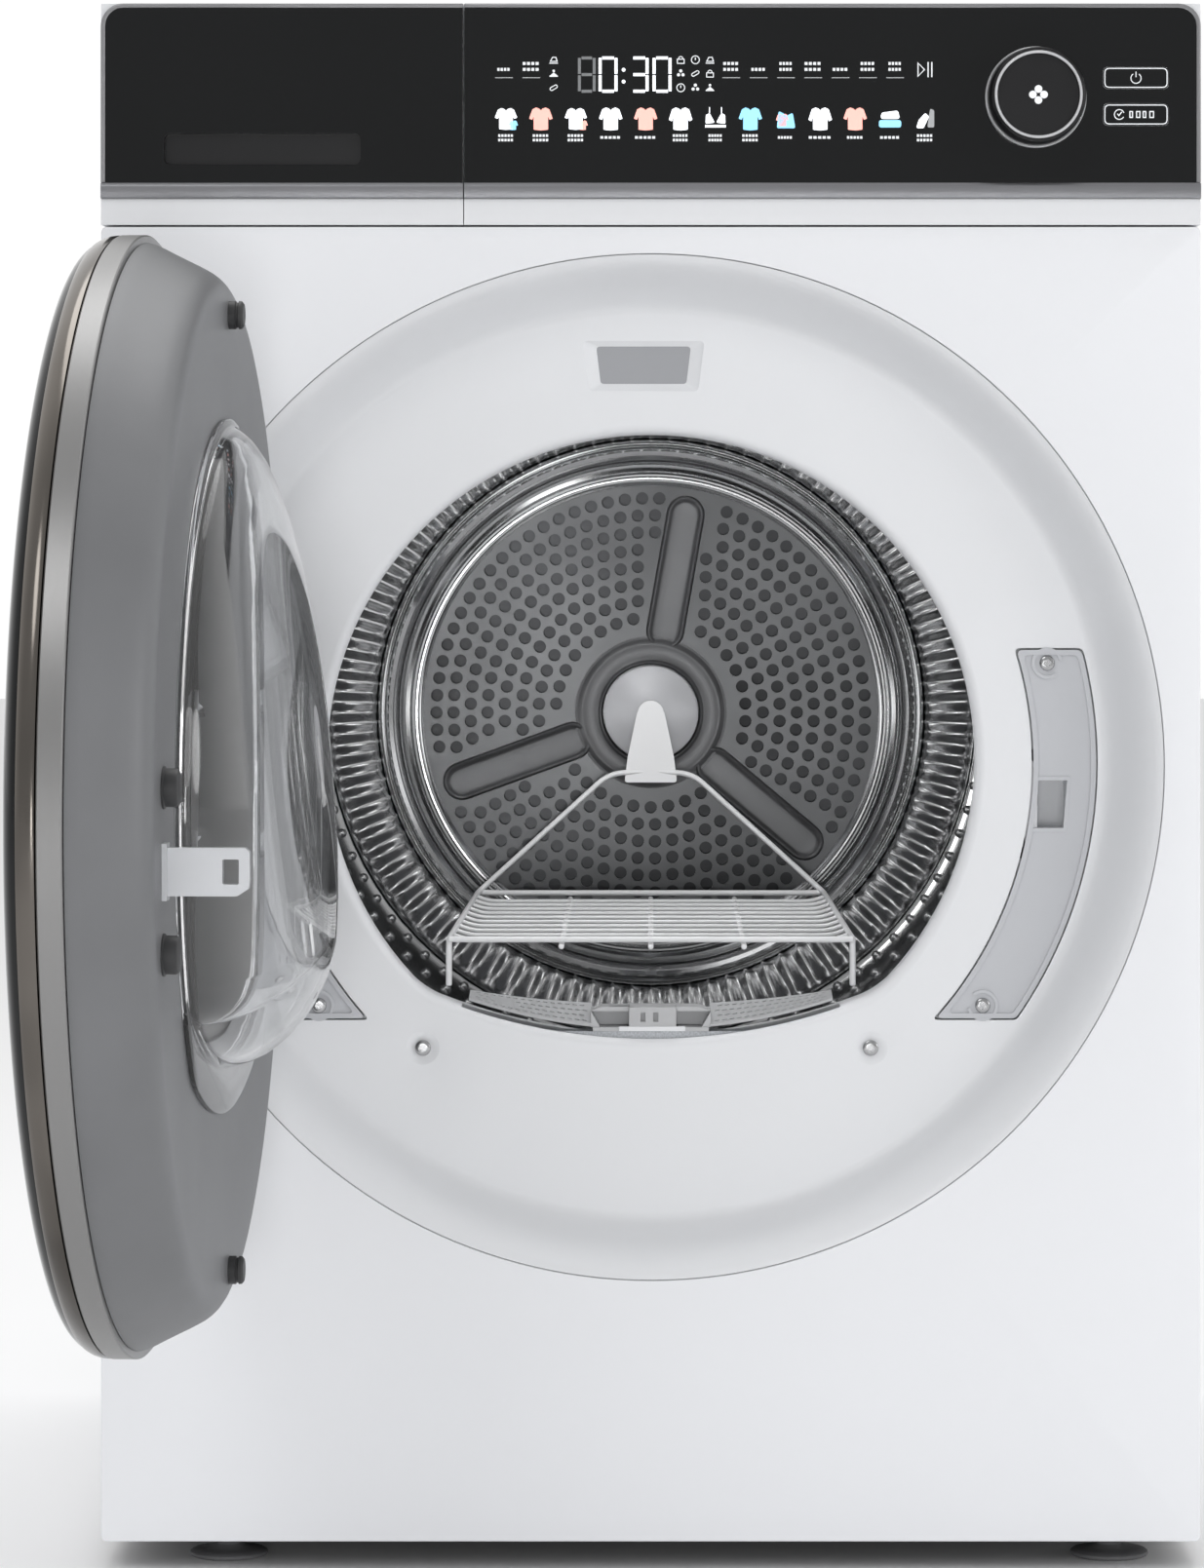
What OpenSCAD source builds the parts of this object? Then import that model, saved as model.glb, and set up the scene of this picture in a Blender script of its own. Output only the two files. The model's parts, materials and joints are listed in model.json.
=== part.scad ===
// Front-loading heat pump clothes dryer with its door swung open.
// Origin: floor level, under the middle of the cabinet. +Z is up and the front faces -Y.

/* [Cabinet] */
// Width of the cabinet
body_w = 595; // [590:1:600]
// Height from the floor to the top cover
body_h = 850; // [848:1:860]
// Depth from the front panel to the back
body_d = 600; // [590:1:610]
// Gap between the floor and the bottom of the cabinet
foot_gap = 16.4; // [14:0.1:20]
// Height of the top edge of the front panel
panel_top = 728.2; // [726:0.1:730]
// Thickness of the sheet metal
sheet = 2; // [1:0.5:3]

/* [Control panel] */
// Lower edge of the control panel
fascia_z = 729.2; // [729:0.1:731]
// Lower edge of the silver strip
strip_z = 743.4; // [742:0.1:745]
// Lower edge of the black glass
glass_z = 751.9; // [750:0.1:753]
// Where the drawer front meets the control panel
split_x = -101; // [-106:1:-96]
// Middle of the dial, from the middle of the cabinet
knob_x = 208; // [200:1:215]
// Height of the dial's axis
knob_z = 798; // [792:1:800]
// Radius of the dial
knob_r = 27.4; // [24:0.1:28]
// How far the dial stands out
knob_out = 26; // [15:1:30]
// Middle of the two push buttons
button_x = 262.3; // [260:0.1:264]
// Height of the power button
power_z = 808.6; // [806:0.1:810]
// Height of the automatic programme button
auto_z = 788.8; // [787:0.1:791]
// Width and height of a push button
button_size = [35, 11.6]; // [10:0.1:36]

/* [Door] */
// Height of the door's middle
door_z = 435.7; // [434:0.1:437]
// Radius of the recess at the front panel
recess_r = 278; // [276:0.5:280]
// Depth of the recess
recess_deep = 44; // [42:1:46]
// Outer radius of the door
door_r = 276; // [273:0.5:277]
// Radius of the door's flat inner face
door_face_r = 248; // [244:1:250]
// Opening angle of the door as it stands
door_open = 93; // [60:1:95]
// Hinge axis left of the middle
hinge_x = -247; // [-248:0.5:-246]
// Hinge axis in front of the front panel
hinge_out = 15; // [14:0.5:16]
// How far the glass bowl reaches past the door's inner face
bowl_deep = 54; // [48:1:55]

/* [Drum] */
// Radius of the loading opening
mouth_r = 176; // [174:0.5:178]
// Depth of the opening's flat bottom below the door's middle
mouth_drop = 148.5; // [147:0.5:150]
// Height of the drum axis above the door's middle
drum_rise = 10; // [8:1:12]
// Inner radius of the drum
drum_r = 283; // [270:1:284]
// Front edge of the drum
drum_y0 = -208; // [-210:1:-206]
// Rear wall of the drum
drum_y1 = 180; // [176:1:184]

/* [Hidden] */
$fn = 96;

half_w = body_w / 2;
front_y = -body_d / 2;
back_y = body_d / 2;
eps = 0.01;
gap = 0.3;

// Control panel
fascia_y = front_y - 2;
fascia_back = front_y + 28;
fascia_top = body_h - 1;

// Recess and door, with the door closed
floor_y = front_y + recess_deep;
join_y = front_y - 2;
face_y = join_y + 37;
glass_y = join_y - 30;
hinge_y = front_y - hinge_out;
lug_z = 38;
lug_t = 10;
pin_r = 4;
hook_x = 219.5;
hook_z = door_z - 22.9;
cover_r0 = 209.5;
cover_r1 = 245;
cover_z0 = 295;
cover_z1 = 498.5;
cover_screws = [[-217.6, 490.6], [217.6, 490.6], [-182.2, 302.6], [182.2, 302.6]];
bulkhead_screws = [[-125.2, 279.2], [120.7, 279.2]];

// Drum and its drive
drum_z = door_z + drum_rise;
drum_t = 1.5;
drum_out = drum_r + drum_t;
drum_mouth_r = 188;
collar_y = -203;
hoop_back = -216;
hoop_r = 187;
wall_back_y = drum_y1 + 12;
bulk_y = -247;
rear_y = 206;
belt_y0 = -20;
belt_w = 12;
belt_t = 2.5;
motor_x = -200;
motor_z = 108;
pulley_r = 14;
idler_r = 18;
idler_x = -252;
idler_z = 196;
idler_pivot = [-262, 128];
base_floor = foot_gap + 4;
roller_r = 35;
roller_a = 35;
roller_w = 20;
roller_y = drum_y0 + 14;
axle_r = 5;
roller_d = drum_out + gap + roller_r;
roller_x = roller_d * sin(roller_a);
roller_z = drum_z - roller_d * cos(roller_a);

// Drawer
drawer_x0 = -half_w;
drawer_x1 = split_x - 0.5;
tank = [[-286, front_y + 8, 757], [-114, 160, 825]];

// Drying rack
rack_wire = 1.7;
rack_bar = 1.5;
rack_half = 112.6;
rack_rear_half = 107.4;
rack_z = 335;
rack_y0 = -206;
rack_y1 = 150;
rack_foot_z = 309.5;

// ---------- Helpers ----------

// A box between two corners
module block(a, b) {
    translate(a) cube([b[0] - a[0], b[1] - a[1], b[2] - a[2]]);
}

// A rod along Y
module rod_y(r, y0, y1, x = 0, z = 0) {
    translate([x, y0, z]) rotate([-90, 0, 0]) cylinder(r = r, h = y1 - y0);
}

// A rod along Z
module rod_z(r, z0, z1, x = 0, y = 0) {
    translate([x, y, z0]) cylinder(r = r, h = z1 - z0);
}

// Turns a profile of [radius, y] points about an axis along Y
module turned_y(points, x = 0, z = door_z) {
    translate([x, 0, z]) rotate([-90, 0, 0]) rotate_extrude() polygon(points);
}

// Extrudes a front-view outline from y0 to y1
module front_view(y0, y1, z = 0) {
    translate([0, y1, z]) rotate([90, 0, 0]) linear_extrude(y1 - y0) children();
}

// A straight round bar between two points
module bar(a, b, r) {
    v = b - a;
    translate(a) rotate([0, acos(v[2] / norm(v)), atan2(v[1], v[0])]) cylinder(r = r, h = norm(v));
}

// A bent round bar through a list of points
module bent_bar(points, r) {
    for (i = [0 : len(points) - 2]) bar(points[i], points[i + 1], r);
    for (i = [1 : len(points) - 2]) translate(points[i]) sphere(r = r * 1.02);
}

// Points of an arc, in front view
function arc(c, r, a0, a1, n) = [for (i = [0 : n]) let (a = a0 + (a1 - a0) * i / n) c + r * [cos(a), sin(a)]];

// Outline of the loading opening about the door's middle: a circle with a flatter bottom and soft corners.
// grow moves the whole outline outwards and lift raises the flat bottom.
mouth_rise = 2.2;
mouth_flat_r = 316;
mouth_corner = 42;
function mouth(grow = 0, lift = 0) =
    let (r1 = mouth_r + grow, r2 = mouth_flat_r + grow, rc = mouth_corner + grow)
    let (c1 = mouth_rise, c2 = mouth_flat_r - mouth_drop + lift)
    let (a = pow(r1 - rc, 2), b = pow(r2 - rc, 2))
    let (fz = (a - b + c2 * c2 - c1 * c1) / (2 * (c2 - c1)), fx = sqrt(a - pow(fz - c1, 2)))
    let (a1 = atan2(fz - c1, fx), a2 = atan2(fz - c2, fx))
    concat(arc([0, c1], r1, a1, 180 - a1, 64), arc([-fx, fz], rc, 181 - a1, 179 - a2, 10),
        arc([0, c2], r2, 180 - a2, 360 + a2, 20), arc([fx, fz], rc, 361 + a2, 359 + a1, 10));

// Swings a closed door piece to where the door stands
module as_opened() {
    translate([hinge_x, hinge_y, 0]) rotate([0, 0, -door_open]) translate([-hinge_x, -hinge_y, 0]) children();
}

// A flat rounded rectangle in front view
module pill(w, h, r) {
    square([w - 2 * r, h], center = true);
    square([w, h - 2 * r], center = true);
    for (sx = [-1, 1], sz = [-1, 1]) translate([sx * (w / 2 - r), sz * (h / 2 - r)]) circle(r = r);
}

// ---------- Cabinet ----------

module front_panel() {
    color("white") {
        difference() {
            block([-half_w, front_y, foot_gap], [half_w, front_y + sheet, panel_top]);
            rod_y(recess_r, front_y - 1, front_y + sheet + 1, 0, door_z);
        }
        for (s = [-1, 1]) block([s * (half_w - sheet / 2) - sheet / 2, front_y + sheet - eps, foot_gap],
            [s * (half_w - sheet / 2) + sheet / 2, front_y + 14, panel_top]);
        block([-half_w, front_y + sheet - eps, foot_gap], [half_w, front_y + 14, foot_gap + sheet]);
    }
}

module side_panels() {
    side_y0 = front_y + 14.5;
    color("white") for (s = [-1, 1]) {
        block([s * (half_w - sheet / 2) - sheet / 2, side_y0, foot_gap],
            [s * (half_w - sheet / 2) + sheet / 2, back_y - 6, panel_top]);
        block([s * (half_w - sheet / 2) - sheet / 2, fascia_back + 1, panel_top - eps],
            [s * (half_w - sheet / 2) + sheet / 2, back_y - 6, body_h - 22]);
        block([s * (half_w - 9) - 9, back_y - 8, foot_gap], [s * (half_w - 9) + 9, back_y - 6, body_h - 22]);
    }
}

module back_panel() {
    color("silver") difference() {
        block([-half_w + 1, back_y - 5.5, foot_gap], [half_w - 1, back_y - 3.5, body_h - 22]);
        rod_y(200, back_y - 10, back_y, 0, drum_z);
        for (i = [0 : 9]) block([110 + i * 15, back_y - 10, 60], [116 + i * 15, back_y, 150]);
        rod_y(9, back_y - 10, back_y, -250, 790);
        rod_y(12, back_y - 10, back_y, 240, 790);
    }
}

module rear_duct_cover() {
    color("gainsboro") turned_y([[0, back_y - 3.3], [212, back_y - 3.3], [212, back_y - 2.3],
        [194, back_y - 2.3], [190, back_y], [0, back_y]], 0, drum_z);
}

module top_cover() {
    y0 = fascia_back + 1;
    color("white") difference() {
        union() {
            block([-half_w, y0, body_h - 21], [half_w, back_y, body_h - 3]);
            block([-half_w + 3, y0, body_h - 4], [half_w - 3, back_y - 3, body_h]);
            for (s = [-1, 1]) rod_y(3, y0, back_y - 3, s * (half_w - 3), body_h - 3);
        }
        block([-half_w + 3, y0 + 3, body_h - 30], [half_w - 3, back_y - 3, body_h - 4]);
    }
}

module base_tray() {
    z1 = 62;
    color("dimgray") {
        difference() {
            block([-half_w + 4, front_y + 16, foot_gap], [half_w - 4, back_y - 10, z1]);
            block([-half_w + 8, front_y + 20, base_floor], [half_w - 8, back_y - 14, z1 + 1]);
        }
        for (x = [-116, 116]) block([x - 2, -200, base_floor - 1], [x + 2, 68, z1]);
        block([-118, 64, base_floor - 1], [118, 68, z1]);
    }
}

foot_x = [-232, 252];
foot_y = [-250, 250];
module levelling_feet() {
    color("darkslategray") for (x = foot_x, y = foot_y) {
        translate([x, y, 0]) rotate_extrude() polygon([[0, 0], [20, 0], [21.4, 1], [21.4, 2.6], [19.5, 3.6],
            [9, 5.2], [6.9, 6.5], [6.9, foot_gap], [0, foot_gap]]);
    }
}

// ---------- Control panel ----------

module fascia_frame() {
    x0 = split_x;
    color("white") difference() {
        block([x0, front_y + 1, fascia_z], [half_w, fascia_back, fascia_top]);
        block([x0 + 3, front_y + 4, fascia_z + 3], [half_w - 3, fascia_back + 1, fascia_top - 3]);
        rod_y(9, front_y - 1, front_y + 10, knob_x, knob_z);
        for (z = [power_z, auto_z])
            block([button_x - 12, front_y - 1, z - 4], [button_x + 12, front_y + 10, z + 4]);
        block([-60, front_y - 1, 765], [165, front_y + 10, 830]);
    }
    color("white") {
        block([x0, front_y, fascia_z], [half_w, front_y + 1 + eps, strip_z - gap]);
        // ledge and cheek that frame the water drawer
        block([-half_w, front_y + 9, fascia_top - 4], [x0 + 1, fascia_back, fascia_top]);
        block([-half_w, front_y + 9, fascia_z], [-half_w + 3, fascia_back, fascia_top]);
        block([-half_w, front_y + 9, fascia_z], [x0 + 1, fascia_back, fascia_z + 3]);
    }
}

module fascia_glass() {
    color("black") difference() {
        block([split_x, fascia_y, glass_z], [half_w - 2.6, front_y + 1, fascia_top - 2.6]);
        rod_y(8.5, fascia_y - 1, front_y + 2, knob_x, knob_z);
        for (z = [power_z, auto_z]) translate([button_x, 0, z]) front_view(fascia_y - 1, front_y + 2)
            pill(button_size[0] + 2 * gap, button_size[1] + 2 * gap, 3.2);
    }
}

module fascia_trim() {
    color("silver") {
        block([split_x, fascia_y - 1, strip_z], [half_w, front_y + 1, glass_z]);
        block([half_w - 2.6, fascia_y, glass_z - eps], [half_w, front_y + 1, fascia_top]);
        block([split_x, fascia_y, fascia_top - 2.6], [half_w, front_y + 1, fascia_top]);
    }
}

module display_board() {
    color("darkgreen") difference() {
        block([-70, front_y + 14, 760], [288, front_y + 15.6, 838]);
        rod_y(3.2, front_y + 10, front_y + 20, knob_x, knob_z);
    }
    color("dimgray") {
        block([-48, front_y + 5, 796], [16, front_y + 14, 824]);
        for (z = [power_z, auto_z])
            block([button_x - 4, front_y + 11.2, z - 4], [button_x + 4, front_y + 14, z + 4]);
        difference() {
            rod_y(8, front_y + 8, front_y + 14, knob_x, knob_z);
            rod_y(3.1, front_y + 7, front_y + 15, knob_x, knob_z);
        }
    }
}

module knob() {
    y0 = fascia_y - knob_out;
    color("black") turned_y([[0, y0 + 3], [22.4, y0 + 3], [22.4, y0], [24.6, y0], [25.6, y0 + 1],
        [25.6, fascia_y - 6], [knob_r, fascia_y - 5], [knob_r, fascia_y - 0.5], [8, fascia_y - 0.5],
        [8, front_y + 3], [3, front_y + 3], [3, front_y + 12], [0, front_y + 12]], knob_x, knob_z);
}

// A push button with its stem
module push_button(z) {
    color("black") translate([button_x, 0, z]) {
        front_view(fascia_y - 0.4, front_y - 0.2) pill(button_size[0], button_size[1], 3);
        block([-9, front_y - 0.2 - eps, -3], [9, front_y + 10, 3]);
    }
}
module power_button() { push_button(power_z); }
module auto_button() { push_button(auto_z); }

// ---------- Water drawer ----------

module drawer_front() {
    color("white") {
        block([drawer_x0, front_y, fascia_z], [drawer_x1, front_y + 1 + eps, strip_z - gap]);
        difference() {
            block([drawer_x0, front_y + 1, fascia_z], [drawer_x1, front_y + 8, fascia_top]);
            block([drawer_x0 + 33, front_y, 761], [-156, front_y + 5.5, 787]);
        }
    }
}

module drawer_glass() {
    color("black") difference() {
        block([drawer_x0 + 2.6, fascia_y, glass_z], [drawer_x1, front_y + 1, fascia_top - 2.6]);
        block([drawer_x0 + 34, fascia_y - 1, 760], [-154.3, front_y + 2, 779]);
    }
}

module drawer_trim() {
    color("silver") {
        block([drawer_x0, fascia_y - 1, strip_z], [drawer_x1, front_y + 1, glass_z]);
        block([drawer_x0, fascia_y, glass_z - eps], [drawer_x0 + 2.6, front_y + 1, fascia_top]);
        block([drawer_x0, fascia_y, fascia_top - 2.6], [drawer_x1, front_y + 1, fascia_top]);
    }
}

module water_tank() {
    wall = 2.5;
    color("whitesmoke") difference() {
        block(tank[0], tank[1]);
        block(tank[0] + [wall, wall, wall], tank[1] - [wall, wall, wall]);
        rod_z(11, tank[1][2] - 5, tank[1][2] + 1, -200, 120);
    }
}

module drawer_housing() {
    color("lightgray") difference() {
        block(tank[0] - [3.5, -22, 4], tank[1] + [4.5, 6, 2]);
        block(tank[0] - [1, 30, 0.5], tank[1] + [1, 2, 0.5]);
    }
}

// ---------- Recess and front bulkhead ----------

module door_recess() {
    back = floor_y + 3;
    color("gainsboro") difference() {
        union() {
            turned_y([[0, floor_y], [240, floor_y], [248, floor_y - 1.5], [254, floor_y - 6.5],
                [261, floor_y - 19], [269, front_y + 8], [recess_r - gap, front_y + 0.2],
                [recess_r - gap, front_y + 6], [272, front_y + 12], [265, floor_y - 12], [256, floor_y],
                [250, back], [0, back]]);
            front_view(floor_y + 1, collar_y, door_z) polygon(mouth(4));
        }
        front_view(floor_y - 5, collar_y + 1, door_z) polygon(mouth());
        // slot that lets the lint filter through the collar
        block([-104, floor_y + 3, 200], [104, -226, 330]);
        // light window, latch slot and the hinge lugs' way through
        front_view(floor_y - 5, back + 5) polygon([[-35, 666], [27, 666], [23, 641], [-31, 641]]);
        latch_slot(floor_y - 5, back + 5);
        for (s = [-1, 1]) block([-223, floor_y - 5, door_z + s * lug_z - lug_t / 2 - 0.5],
            [-207, back + 5, door_z + s * lug_z + lug_t / 2 + 0.5]);
        // seats of the two crescent covers
        for (s = [-1, 1]) front_view(floor_y - 5, floor_y + 1.2) crescent(s);
        for (p = concat(cover_screws, bulkhead_screws)) rod_y(2.6, floor_y - 5, back + 5, p[0], p[1]);
    }
}

// Slot that the door's hook passes through, wider on the side it swings towards
module latch_slot(y0, y1) {
    block([hook_x - 7.2, y0, hook_z - 13.6], [hook_x + 9.5, y1, hook_z + 13.6]);
}

// Front view of a crescent cover, left or right
module crescent(s, less = 0) {
    intersection() {
        translate([0, door_z]) difference() {
            circle(r = cover_r1 - less);
            circle(r = cover_r0 + less);
        }
        translate([s > 0 ? 150 : -250, cover_z0 + less]) square([100, cover_z1 - cover_z0 - 2 * less]);
    }
}

module latch_cover() {
    color("lightgray") difference() {
        front_view(floor_y - 0.8, floor_y + 1) crescent(1, 0.6);
        latch_slot(floor_y - 5, floor_y + 5);
        for (p = cover_screws) rod_y(2.6, floor_y - 5, floor_y + 5, p[0], p[1]);
    }
}

module hinge_cover() {
    color("lightgray") difference() {
        front_view(floor_y - 0.8, floor_y + 1) crescent(-1, 0.6);
        for (s = [-1, 1]) block([-230, floor_y - 5, door_z + s * lug_z - lug_t / 2 - 0.5],
            [-205, floor_y + 5, door_z + s * lug_z + lug_t / 2 + 0.5]);
        for (p = cover_screws) rod_y(2.6, floor_y - 5, floor_y + 5, p[0], p[1]);
    }
}

// Pan-head screw along Y, with its head facing the front
module screw_y(x, y, z, r = 4.2, len = 8) {
    rod_y(r, y - 2.4, y, x, z);
    rod_y(2, y - eps, y + len, x, z);
}

module case_screws() {
    color("silver") {
        for (p = cover_screws) screw_y(p[0], floor_y - 0.8, p[1]);
        for (p = bulkhead_screws) screw_y(p[0], floor_y, p[1], 4.4);
        for (i = [0 : 7]) translate([209 * cos(i * 45 + 20), 0, drum_z + 209 * sin(i * 45 + 20)])
            rod_y(4, back_y - 2.3, back_y - 0.3);
    }
}

module drum_light_lens() {
    color("darkgray") front_view(floor_y + 3.2, floor_y + 5.2)
        polygon([[-38, 669], [30, 669], [26, 638], [-34, 638]]);
    color("ivory") block([-16, floor_y + 5.1, 646], [8, floor_y + 8, 662]);
}

module door_lock() {
    color("white") difference() {
        block([hook_x - 14, floor_y + 3.2, hook_z - 24], [hook_x + 14, floor_y + 40, hook_z + 24]);
        latch_slot(floor_y, floor_y + 34);
    }
}

// Bracket behind the recess, with two curved lugs that carry the door's pins
module hinge_bracket() {
    foot_x1 = -209;
    color("silver") {
        difference() {
            block([-236, floor_y + 3.2, door_z - 70], [-204, floor_y + 6.2, door_z + 70]);
            for (z = [cover_screws[0][1], door_z - 60])
                rod_y(2.6, floor_y, floor_y + 10, cover_screws[0][0], z);
        }
        for (s = [-1, 1]) difference() {
            translate([0, 0, door_z + s * lug_z - lug_t / 2]) linear_extrude(lug_t) union() {
                polygon([[foot_x1 - 12, floor_y + 4], [foot_x1, floor_y + 4], [foot_x1, hinge_y + 32],
                    [hinge_x + 4, hinge_y - 5], [hinge_x - 4.5, hinge_y + 4.5],
                    [foot_x1 - 12, hinge_y + 36]]);
                translate([hinge_x, hinge_y]) circle(r = 7);
            }
            rod_z(pin_r, door_z - 100, door_z + 100, hinge_x, hinge_y);
        }
        for (z = [door_z - 43, door_z + 20]) rod_z(pin_r, z, z + 23, hinge_x, hinge_y);
    }
}

module front_bulkhead() {
    color("silver") difference() {
        union() {
            block([-half_w + 5, bulk_y, 64], [half_w - 5, bulk_y + 2, panel_top - 4]);
            for (s = [-1, 1]) rod_y(axle_r, bulk_y, roller_y + roller_w + 4, s * roller_x, roller_z);
            // hoop that carries the felt and closes off the drum
            rod_y(hoop_r + 10, bulk_y, hoop_back, 0, drum_z);
        }
        rod_y(hoop_r, bulk_y - 1, hoop_back + 1, 0, drum_z);
        block([-112, bulk_y - 1, 60], [112, hoop_back + 1, 320]);
        block([hook_x - 18, bulk_y - 1, hook_z - 30], [hook_x + 18, bulk_y + 3, hook_z + 30]);
        block([-45, bulk_y - 1, 630], [40, bulk_y + 3, 676]);
        block([-240, bulk_y - 1, door_z - 80], [-200, bulk_y + 3, door_z + 80]);
    }
}

module drum_seals() {
    color("tan") {
        turned_y([[189.5, hoop_back], [196, hoop_back], [196, drum_y0 - gap], [189.5, drum_y0 - gap]],
            0, drum_z);
        turned_y([[206, wall_back_y + gap], [216, wall_back_y + gap], [216, rear_y], [206, rear_y]],
            0, drum_z);
    }
}

module filter_duct() {
    color("gray") difference() {
        block([-108, floor_y + 3.3, base_floor + gap], [108, -224, 282]);
        block([-102, floor_y + 5, base_floor + 4], [102, -226, 290]);
        block([-102, -230, base_floor + 4], [102, -220, 140]);
    }
}

// ---------- Drum ----------

module drum_shell() {
    color("silver") turned_y([[drum_mouth_r, drum_y0], [drum_r - 8, drum_y0], [drum_out, drum_y0 + 10],
        [drum_out, drum_y1 - 4], [drum_r, drum_y1 - 4], [drum_r, drum_y0 + 11],
        [drum_r - 9, drum_y0 + drum_t], [drum_mouth_r + 3, drum_y0 + drum_t],
        [drum_mouth_r + 3, drum_y0 + 9], [drum_mouth_r, drum_y0 + 9]], 0, drum_z);
}

// Pressed rear wall with hub, air disc, rings and stub shaft
module drum_rear_wall() {
    y = drum_y1;
    b = y + 2;
    color("silver") turned_y([[0, y - 9], [10, y - 9], [29, y - 5], [30.5, y - 1], [33, y - 3], [39, y - 3],
        [42, y], [141, y], [146, y - 6], [151, y - 6], [155, y + 1], [158, y - 6], [165, y - 11],
        [172, y - 6], [176, y + 1], [202, y - 8], [208, y - 2], [222, y + 6], [drum_r - 16, y + 6],
        [drum_r - gap, y - 8], [drum_r - gap, y - 3.8], [drum_out, y - 3.8], [drum_out, y - 3],
        [drum_r - 13, b + 6], [220, b + 6], [216, b + 10], [206, b + 10], [204, b], [42, b], [40, b + 6],
        [22, b + 6], [20, b + 4], [12, b + 4], [12, rear_y + 22], [0, rear_y + 22]], 0, drum_z);
}

module drum_lifters() {
    root_r = drum_r - gap;
    color("whitesmoke") for (a = [90, 210, 330]) translate([0, 0, drum_z]) rotate([0, a, 0])
        translate([0, 155, 0]) rotate([90, 0, 0]) linear_extrude(350)
            polygon([[root_r - 3, -32], [root_r, 0], [root_r - 3, 32], [215, 13], [192, 9], [187, 4],
                [187, -4], [192, -9], [215, -13]]);
}

module rear_bulkhead() {
    color("silver") difference() {
        block([-half_w + 5, rear_y, 64], [half_w - 5, rear_y + 2, 745]);
        rod_y(15, rear_y - 1, rear_y + 3, 0, drum_z);
        for (i = [0 : 11]) let (a = i * 30 + 15)
            rod_y(17, rear_y - 1, rear_y + 3, 95 * cos(a), drum_z + 95 * sin(a));
        rod_y(40, rear_y - 1, rear_y + 3, motor_x, motor_z);
    }
}

module rear_bearing() {
    color("dimgray") turned_y([[12.05, rear_y - 4], [15, rear_y - 4], [15, rear_y + 2], [28, rear_y + 2],
        [28, rear_y + 8], [18, rear_y + 10], [18, rear_y + 18], [12.05, rear_y + 18]], 0, drum_z);
}

// ---------- Drive ----------

module belt_loop(grow) {
    hull() {
        translate([0, drum_z]) circle(r = drum_out + gap + grow, $fn = 120);
        translate([motor_x, motor_z]) circle(r = pulley_r + gap + grow, $fn = 32);
        translate([idler_x, idler_z]) circle(r = idler_r + gap + grow, $fn = 32);
    }
}

module drum_belt() {
    color("black") front_view(belt_y0, belt_y0 + belt_w) difference() {
        belt_loop(belt_t);
        belt_loop(0);
    }
}

module motor_housing() {
    color("gray") difference() {
        union() {
            rod_y(50, 5, 66, motor_x, motor_z);
            rod_y(20, 0, 5 + eps, motor_x, motor_z);
            block([motor_x - 46, 10, base_floor + gap], [motor_x + 46, 60, motor_z - 30]);
            // arm and stud that the tension arm turns on
            hull() for (p = [idler_pivot, [motor_x, motor_z]]) rod_y(11, 5, 10, p[0], p[1], $fn = 32);
            rod_y(5, belt_y0 - 14, 6, idler_pivot[0], idler_pivot[1]);
        }
        rod_y(6.05, -5, 80, motor_x, motor_z);
    }
}

module motor_shaft() {
    color("silver") turned_y([[0, belt_y0 - 4], [pulley_r + 3, belt_y0 - 4], [pulley_r + 3, belt_y0 - 1],
        [pulley_r, belt_y0 - 1], [pulley_r, belt_y0 + belt_w + 1], [pulley_r + 3, belt_y0 + belt_w + 1],
        [pulley_r + 3, belt_y0 + belt_w + 4], [6, belt_y0 + belt_w + 4], [6, 128], [0, 128]],
        motor_x, motor_z);
}

module blower_wheel() {
    blades = 18;
    color("white") {
        difference() {
            union() {
                rod_y(70, 122, 125, motor_x, motor_z);
                rod_y(12, 90, 124, motor_x, motor_z);
                for (i = [0 : blades - 1]) translate([motor_x, 0, motor_z]) rotate([0, i * 360 / blades, 0])
                    translate([50, 84, -1]) cube([18, 39, 2]);
            }
            rod_y(6, 80, 130, motor_x, motor_z);
        }
        turned_y([[50, 80], [69, 80], [69, 84.5], [50, 84.5]], motor_x, motor_z);
    }
}

module blower_housing() {
    color("lightgray") difference() {
        union() {
            rod_y(80, 72, 134, motor_x, motor_z);
            block([motor_x, 72, base_floor + gap], [-104, 134, motor_z - 16]);
        }
        rod_y(77, 75, 131, motor_x, motor_z);
        block([motor_x, 75, motor_z - 74], [-100, 131, motor_z - 19]);
        rod_y(55, 60, 76, motor_x, motor_z);
        rod_y(38, 120, 140, motor_x, motor_z);
    }
}

module idler_arm() {
    color("silver") {
        difference() {
            hull() for (p = [idler_pivot, [idler_x, idler_z]])
                rod_y(11, belt_y0 - 12, belt_y0 - 7, p[0], p[1], $fn = 32);
            rod_y(5.05, belt_y0 - 20, belt_y0, idler_pivot[0], idler_pivot[1]);
        }
        rod_y(5, belt_y0 - 8, belt_y0 + belt_w + 4, idler_x, idler_z);
    }
}

module idler_pulley() {
    color("white") turned_y([[5.05, belt_y0 - 4], [idler_r + 2, belt_y0 - 4], [idler_r + 2, belt_y0 - 1],
        [idler_r, belt_y0 - 1], [idler_r, belt_y0 + belt_w + 1], [idler_r + 2, belt_y0 + belt_w + 1],
        [idler_r + 2, belt_y0 + belt_w + 3], [5.05, belt_y0 + belt_w + 3]], idler_x, idler_z);
}

module roller(x) {
    y1 = roller_y + roller_w;
    color("dimgray") turned_y([[axle_r + 0.05, roller_y], [14, roller_y], [14, roller_y + 4],
        [roller_r - 6, roller_y + 4], [roller_r - 6, roller_y], [roller_r, roller_y], [roller_r, y1],
        [roller_r - 6, y1], [roller_r - 6, y1 - 4], [14, y1 - 4], [14, y1], [axle_r + 0.05, y1]],
        x, roller_z);
}
module roller_left() { roller(-roller_x); }
module roller_right() { roller(roller_x); }

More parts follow.
